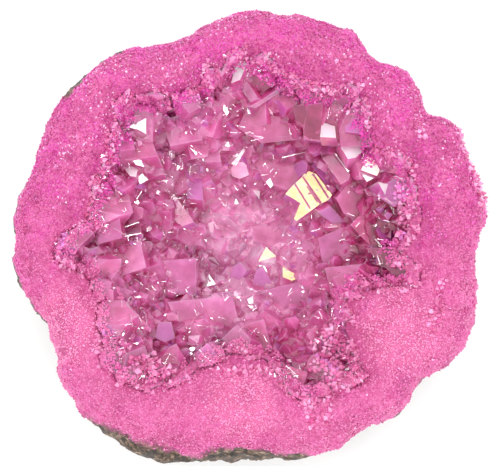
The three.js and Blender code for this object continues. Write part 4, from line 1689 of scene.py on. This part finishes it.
    def build(self, packed: Object, rock: Object, druse: Material, studio: Studio) -> Object:
        """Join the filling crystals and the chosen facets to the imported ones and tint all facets.

        Args:
            packed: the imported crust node.
            rock: the piece that it grows in.
            druse: the material of the facets by the rock.
            studio: where the camera and the lamps are.

        Returns:
            The crust's piece.
        """
        random = np.random.default_rng(self.seed)
        low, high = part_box(packed.name)
        reach = 0.5 * (high.x - low.x) + self.BEYOND
        piece = bpy.data.objects.new("quartz_crystals", to_mesh("quartz_crystals", merged_copy(packed)))
        bpy.context.scene.collection.objects.link(piece)
        chosen: list[tuple[Look, Vector, Vector, float]] = []
        for i, generation in enumerate(self.generations):
            grown = self.fill_gaps(surface_of(piece.data), reach, generation, studio, random)
            LOG.info("crystals grown: %d", len(grown))
            join_crystals(piece, grown)
            if i == 0:  # the large faces go over the largest crystals and under the small ones
                mass = self.groundmass.solid(surface_of(piece.data), reach, random)
                join_crystals(piece, [(Vector(), reach, mass)])
                chosen += self.set_facets(piece, self.bodies, self.body_level, studio)
        join_crystals(piece, self.glints.grow(surface_of(piece.data), reach, studio, random))
        for facets in self.accents:
            chosen += self.set_facets(piece, facets, self.accent_level, studio)
        self.tint(piece.data, chosen, studio, random)
        piece.data.materials.clear()
        piece.data.materials.append(self.finish.material())
        piece.data.materials.append(druse)
        # painted light on the facets by the rock, against the shade in the gap
        self.paint_light_by_rock(piece.data, rock.data)
        return piece

    def set_facets(
        self, piece: Object, facets: tuple[Facet, ...], level: float, studio: Studio
    ) -> list[tuple[Look, Vector, Vector, float]]:
        """Join the crystals that have chosen facets to the crust.

        Args:
            piece: the crust so far.
            facets: the chosen facets.
            level: the share of the crystals under a facet that it covers.
            studio: where the camera and the lamps are.

        Returns:
            The look, middle, normal and radius of each facet.
        """
        surface = surface_of(piece.data)
        made = [facet.crystal(surface, level, studio) for facet in facets]
        join_crystals(piece, [(middle, radius, crystal) for middle, radius, _, crystal in made])
        return [
            (facet.look, middle, normal, radius) for facet, (middle, radius, normal, _) in zip(facets, made)
        ]

    def tint(
        self,
        mesh: Mesh,
        chosen: list[tuple[Look, Vector, Vector, float]],
        studio: Studio,
        random: np.random.Generator,
    ) -> None:
        """Give every facet, which is every face of one plane, a look of its own.

        Args:
            mesh: the crystals' mesh, which gets an attribute for each thing that its facets differ in.
            chosen: the look, middle, normal and radius of each chosen facet.
            studio: where the camera and the lamps are.
            random: where the other facets' looks come from.
        """
        count = len(mesh.polygons)
        normals, centres = np.empty(count * 3, np.float32), np.empty(count * 3, np.float32)
        areas = np.empty(count, np.float32)
        mesh.polygons.foreach_get("normal", normals)
        mesh.polygons.foreach_get("center", centres)
        mesh.polygons.foreach_get("area", areas)
        normals, centres = normals.reshape(-1, 3), centres.reshape(-1, 3)
        offsets = np.einsum("ij,ij->i", normals, centres) / self.SAME_PLACE
        keys = np.column_stack([np.round(normals * self.SAME_WAY), np.round(offsets)]).astype(np.int64)
        _, facet = np.unique(keys, axis=0, return_inverse=True)
        facet = facet.ravel()
        facets = facet.max() + 1
        tone = random.normal(self.tone[0], self.tone[1], facets)[facet]
        clear = random.normal(self.clear[0], self.clear[1], facets)[facet]
        # painted light and shade by zone: lighter in the middle of the hollow, darker towards its edges,
        # partly the crystals' own tone
        for zone in self.tone_and_painted_light_zones:
            tone = tone + zone.tone * zone.share(centres[:, 0], centres[:, 1])
        violet, etch, lined = (
            np.where(random.random(facets) < share, random.uniform(least, most, facets), 0)[facet]
            for share, least, most in (self.violets, self.etched, self.lined)
        )
        turns = random.uniform(0, math.pi, facets)[facet]
        across = np.column_stack([np.cos(turns), np.sin(turns), np.zeros(count)])
        large = np.bincount(facet, weights=areas)[facet] > self.largest_mirror
        for lamp in studio.lamps:
            facing = np.array(studio.mirror(Vector((0, 0, studio.rim_height)), lamp))
            etch = np.where(large & (normals @ facing > math.cos(self.mirror_spread)), self.mirror_etch, etch)
        looks = np.column_stack([tone, clear, violet, np.zeros(count), etch, lined])
        for look, middle, normal, radius in chosen:
            apart = centres - np.array(middle)
            on_plane = np.abs(apart @ np.array(normal)) < self.FACET_DEPTH
            near = np.linalg.norm(apart, axis=1) < radius
            found = on_plane & near & (normals @ np.array(normal) > self.FACET_COSINE)
            looks[found] = look.value
            across[found] = self.across_lines
        lines = np.cross(normals, np.cross(normals, across)) * looks[:, 5:]
        channels = [channel for channel in Channel if channel.value.startswith("facet")]
        for channel, values in zip(channels, looks.T[:-1]):
            attribute = mesh.attributes.new(channel.value, "FLOAT", "FACE")
            attribute.data.foreach_set("value", values.astype(np.float32))
        attribute = mesh.attributes.new(Channel.FACET_LINES.value, "FLOAT_VECTOR", "FACE")
        attribute.data.foreach_set("vector", lines.astype(np.float32).ravel())

    def paint_light_by_rock(self, mesh: Mesh, rock: Mesh) -> None:
        """Paint light on the facets by the rock, lighter and less clear, against the shade in the narrow gap
        there, and give those nearest it the druse's material.

        Args:
            mesh: the crystals' mesh with its looks.
            rock: the mesh of the rock around it.
        """
        surface = surface_of(rock)
        apart = np.array([surface.find_nearest(face.center)[3] for face in mesh.polygons])
        share = np.clip(1 - apart / self.painted_light_width, 0, 1)
        for channel, level in ((Channel.FACET_TONE, self.painted_light_tone), (Channel.FACET_CLEAR, 0.0)):
            values = np.empty(len(apart), np.float32)
            data = mesh.attributes[channel.value].data
            data.foreach_get("value", values)
            data.foreach_set("value", (values + share * (level - values)).astype(np.float32))
        mesh.polygons.foreach_set("material_index", (apart < self.border_depth).astype(np.int32))


def join_crystals(piece: Object, grown: list[Grown]) -> None:
    """Join crystals to a piece, in rounds of crystals that stand clear of each other.

    Args:
        piece: the closed mesh object that they join.
        grown: each crystal's middle, radius and mesh.
    """
    rounds: list[list[Grown]] = []
    for crystal in grown:
        middle, radius, _ = crystal
        for group in rounds:
            if all((middle - m).length > radius + r for m, r, _ in group):
                group.append(crystal)
                break
        else:
            rounds.append([crystal])
    LOG.info("rounds of joining: %d", len(rounds))
    for group in rounds:
        together = bmesh.new()
        for _, _, crystal in group:
            loose = to_mesh("loose_crystal", crystal)
            together.from_mesh(loose)
            bpy.data.meshes.remove(loose)
        tool = bpy.data.objects.new("crystal_group", to_mesh("crystal_group", together))
        bpy.context.scene.collection.objects.link(tool)
        modifier = piece.modifiers.new("join", "BOOLEAN")
        modifier.operation = "UNION"
        modifier.solver = "MANIFOLD"
        modifier.object = tool
        depsgraph = bpy.context.evaluated_depsgraph_get()
        joined = bpy.data.meshes.new_from_object(piece.evaluated_get(depsgraph), depsgraph=depsgraph)
        piece.modifiers.remove(modifier)
        old, piece.data = piece.data, joined
        bpy.data.meshes.remove(old)
        bpy.data.objects.remove(tool)


@dataclass(frozen=True)
class Patch:
    """An oval patch of ground as seen from above.

    Attributes:
        place: its middle.
        half_length: how far it reaches along its length.
        half_width: how far it reaches across.
        turn: the direction of its length from +X.
    """

    place: tuple[float, float]
    half_length: float
    half_width: float
    turn: float = 0.0


@dataclass
class Druse:
    """Small quartz crystals that crowd along a border and on some patches.

    Attributes:
        name: the piece's name.
        reach: how far from the border they grow at most.
        patches: where they also grow.
        spacing: closest that two crystals grow.
        size: the smallest and largest half width.
    """

    name: str
    reach: float
    patches: tuple[Patch, ...]
    spacing: float = 0.75 * MM
    size: tuple[float, float] = (0.35 * MM, 0.8 * MM)
    density: float = 4e6  # crystals tried per square metre
    stretch: float = 1.5  # a crystal's half length, of its half width
    lean: float = 0.6  # how far a crystal leans from the surface's normal
    ragged: float = 3.5 * MM  # size of the border's bays
    bay: tuple[float, float] = (0.35, 0.65)  # the noise between its least and its full reach
    least: float = 0.0  # how far it reaches in the deepest bays, of its reach
    patch_edge: float = 1.6  # how far a patch goes where the noise is 1, of its own size
    border_overlap: float = 0.01 * MM  # how far in under the crystals it may grow
    steepest: float = 0.1  # the least Z of the surface's normal
    tone: tuple[float, float] = (0.3, 0.75)
    clear: tuple[float, float] = (0.0, 0.2)
    seed: int = 3

    def tree(self, sizes: Sizes) -> NodeTree:
        """Build the tree that grows the crystals.

        Args:
            sizes: its inputs.

        Returns:
            The tree.
        """
        tree, given = new_tree(self.name, sizes)
        add = partial(add_node, tree)
        points = add(
            "GeometryNodeDistributePointsOnFaces",
            {
                "Mesh": given["Mesh"],
                "Distance Min": given["Spacing"],
                "Density Max": given["Density"],
                "Seed": given["Seed"],
            },
            distribute_method="POISSON",
        )
        place = add("GeometryNodeInputPosition")
        wobble = add("ShaderNodeTexNoise", {"Vector": place, "Scale": 1 / self.ragged, "Detail": 2.0})
        neighbour = add("GeometryNodeObjectInfo", {"Object": given["Neighbour"]})
        near = add("GeometryNodeProximity", {0: neighbour.outputs["Geometry"]}).outputs["Distance"]
        least = add("ShaderNodeMath", {0: given["Reach"], 1: self.least}, operation="MULTIPLY")
        bay = add(
            "ShaderNodeMapRange",
            {
                "Value": wobble,
                "From Min": self.bay[0],
                "From Max": self.bay[1],
                "To Min": least,
                "To Max": given["Reach"],
            },
        )
        grown = add("ShaderNodeMath", {0: near, 1: bay}, operation="LESS_THAN")
        for patch in self.patches:
            apart = add("ShaderNodeVectorMath", {0: place, 1: (*patch.place, 0)}, operation="SUBTRACT")
            turned = add(
                "ShaderNodeVectorRotate", {"Vector": apart, "Angle": -patch.turn}, rotation_type="Z_AXIS"
            )
            scaled = add(
                "ShaderNodeVectorMath",
                {0: turned, 1: (1 / patch.half_length, 1 / patch.half_width, 0)},
                operation="MULTIPLY",
            )
            away = add("ShaderNodeVectorMath", {0: scaled}, operation="LENGTH").outputs["Value"]
            edge = add("ShaderNodeMath", {0: wobble, 1: self.patch_edge}, operation="MULTIPLY")
            inside = add("ShaderNodeMath", {0: away, 1: edge}, operation="LESS_THAN")
            grown = add("ShaderNodeMath", {0: grown, 1: inside}, operation="MAXIMUM")
        level = add("ShaderNodeSeparateXYZ", {"Vector": points.outputs["Normal"]}).outputs["Z"]
        facing = add("ShaderNodeMath", {0: level, 1: self.steepest}, operation="GREATER_THAN")
        way = add(
            "GeometryNodeInputNamedAttribute", {"Name": Channel.CRYSTAL_DISTANCE.value}, data_type="FLOAT"
        )
        bare = add("ShaderNodeMath", {0: way, 1: -self.border_overlap}, operation="GREATER_THAN")
        open_ground = add("ShaderNodeMath", {0: facing, 1: bare}, operation="MULTIPLY")
        chosen = add("ShaderNodeMath", {0: grown, 1: open_ground}, operation="MULTIPLY")
        bead = add("GeometryNodeMeshUVSphere", {"Segments": 6, "Rings": 2, "Radius": 1.0})
        crystal = add("GeometryNodeTransform", {0: bead, "Scale": (1.0, 1.0, self.stretch)})
        size = add(
            "FunctionNodeRandomValue",
            {2: given["Smallest"], 3: given["Largest"], "Seed": 1},
            data_type="FLOAT",
        )
        placed = add(
            "GeometryNodeInstanceOnPoints",
            {
                "Points": points,
                "Selection": chosen,
                "Instance": crystal,
                "Rotation": points.outputs["Rotation"],
                "Scale": size.outputs[1],
            },
        )
        lean = add(
            "FunctionNodeRandomValue",
            {0: (-self.lean, -self.lean, -math.pi), 1: (self.lean, self.lean, math.pi), "Seed": 2},
            data_type="FLOAT_VECTOR",
        )
        geometry = add("GeometryNodeRotateInstances", {0: placed, "Rotation": lean, "Local Space": True})
        for channel, (lowest, highest), seed in (
            (Channel.FACET_TONE, self.tone, 3),
            (Channel.FACET_CLEAR, self.clear, 4),
            (Channel.GRAIN_TONE, (0.0, 1.0), 5),
        ):
            value = add("FunctionNodeRandomValue", {2: lowest, 3: highest, "Seed": seed}, data_type="FLOAT")
            geometry = add(
                "GeometryNodeStoreNamedAttribute",
                {"Geometry": geometry, "Name": channel.value, "Value": value.outputs[1]},
                data_type="FLOAT",
                domain="INSTANCE",
            )
        real = add("GeometryNodeRealizeInstances", {0: geometry})
        flat = add("GeometryNodeSetShadeSmooth", {0: real, "Shade Smooth": False})
        dressed = add("GeometryNodeSetMaterial", {"Geometry": flat, "Material": given["Material"]})
        add("NodeGroupOutput", {0: dressed})
        return tree

    def build(self, ground: Object, neighbour: Object, material: Material) -> Object:
        """Grow the druse.

        Args:
            ground: the piece that it grows on.
            neighbour: the object across the border.
            material: the crystals' material.

        Returns:
            The druse's piece.
        """
        sizes = {
            "Neighbour": ("Object", neighbour),
            "Reach": ("Float", self.reach),
            "Spacing": ("Float", self.spacing),
            "Density": ("Float", self.density),
            "Smallest": ("Float", self.size[0]),
            "Largest": ("Float", self.size[1]),
            "Seed": ("Int", self.seed),
            "Material": ("Material", material),
        }
        return grow(self.name, ground.data.copy(), self.tree(sizes), sizes)


INNER_DRUSE = Druse(
    "inner_druse",
    2.2 * MM,
    (
        Patch((17 * MM, -26 * MM), 11 * MM, 5 * MM, math.radians(75)),
        Patch((33 * MM, -14 * MM), 9 * MM, 3 * MM, math.radians(100)),
        Patch((-2 * MM, -28 * MM), 6 * MM, 2.5 * MM),
        Patch((-21 * MM, -28 * MM), 8 * MM, 3.5 * MM, math.radians(160)),
        Patch((33 * MM, 3 * MM), 10 * MM, 3 * MM, math.radians(100)),
    ),
)
BORDER_SUGAR = Druse(
    "border_sugar",
    4.2 * MM,
    (
        Patch((38 * MM, -12 * MM), 5 * MM, 3 * MM, math.radians(120)),
        Patch((24 * MM, 27 * MM), 8 * MM, 3 * MM, math.radians(140)),
    ),
    spacing=0.36 * MM,
    size=(0.24 * MM, 0.38 * MM),
    density=16e6,
    stretch=1.0,
    least=0.45,
    steepest=-0.3,
    seed=11,
)
RIM_CRYSTALS = Druse(
    "rim_crystals",
    1.3 * MM,
    (
        Patch((-36.8 * MM, 19.3 * MM), 1.6 * MM, 1.4 * MM),
        Patch((18.6 * MM, 35 * MM), 1.4 * MM, 1.0 * MM),
        Patch((35.1 * MM, 20.5 * MM), 2.2 * MM, 1.2 * MM, math.radians(120)),
        Patch((47 * MM, 14 * MM), 13 * MM, 2.5 * MM, math.radians(105)),
        Patch((38.5 * MM, -17 * MM), 8 * MM, 1.8 * MM, math.radians(80)),
        Patch((30 * MM, -12 * MM), 6 * MM, 1.2 * MM),
        Patch((13 * MM, -36 * MM), 7 * MM, 4 * MM, math.radians(120)),
        Patch((-1 * MM, -29.5 * MM), 7 * MM, 1.5 * MM),
    ),
    size=(0.35 * MM, 0.75 * MM),
    tone=(0.2, 0.75),
    seed=5,
)
DRUSE_QUARTZ = AuraQuartz(name="druse_quartz", scatter_depth=0.4 * MM)  # light can't go far in small grains


def main() -> None:
    """Dress the geode, piece by piece."""
    logging.basicConfig(level=logging.INFO, format="%(relativeCreated)d %(name)s: %(message)s")
    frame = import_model()
    packed_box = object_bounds()
    shell_node, crust_node = frame["nodes"]["geode_shell"], frame["nodes"]["crystal_crust"]
    studio = Studio(rim_height=RIM_SHARE * packed_box[1].z)
    studio.camera()
    studio.build()
    shell = GeodeShell().build(shell_node, crust_node)
    grains = SugarDruse().material()
    sugar = RimSugar().build(shell, grains)
    quartz = DRUSE_QUARTZ.material()
    crust = CrystalCrust().build(crust_node, shell, quartz, studio)
    inner_druse = INNER_DRUSE.build(crust, sugar, quartz)
    border_sugar = BORDER_SUGAR.build(crust, sugar, grains)
    rim_crystals = RIM_CRYSTALS.build(shell, crust, quartz)
    show(shell, "coated_rock", "geode_shell")
    show(sugar, "coated_rock")
    show(crust, "quartz", "crystal_crust")
    show(inner_druse, "quartz")
    show(border_sugar, "coated_rock")
    show(rim_crystals, "quartz")


if __name__ == "__main__":
    main()
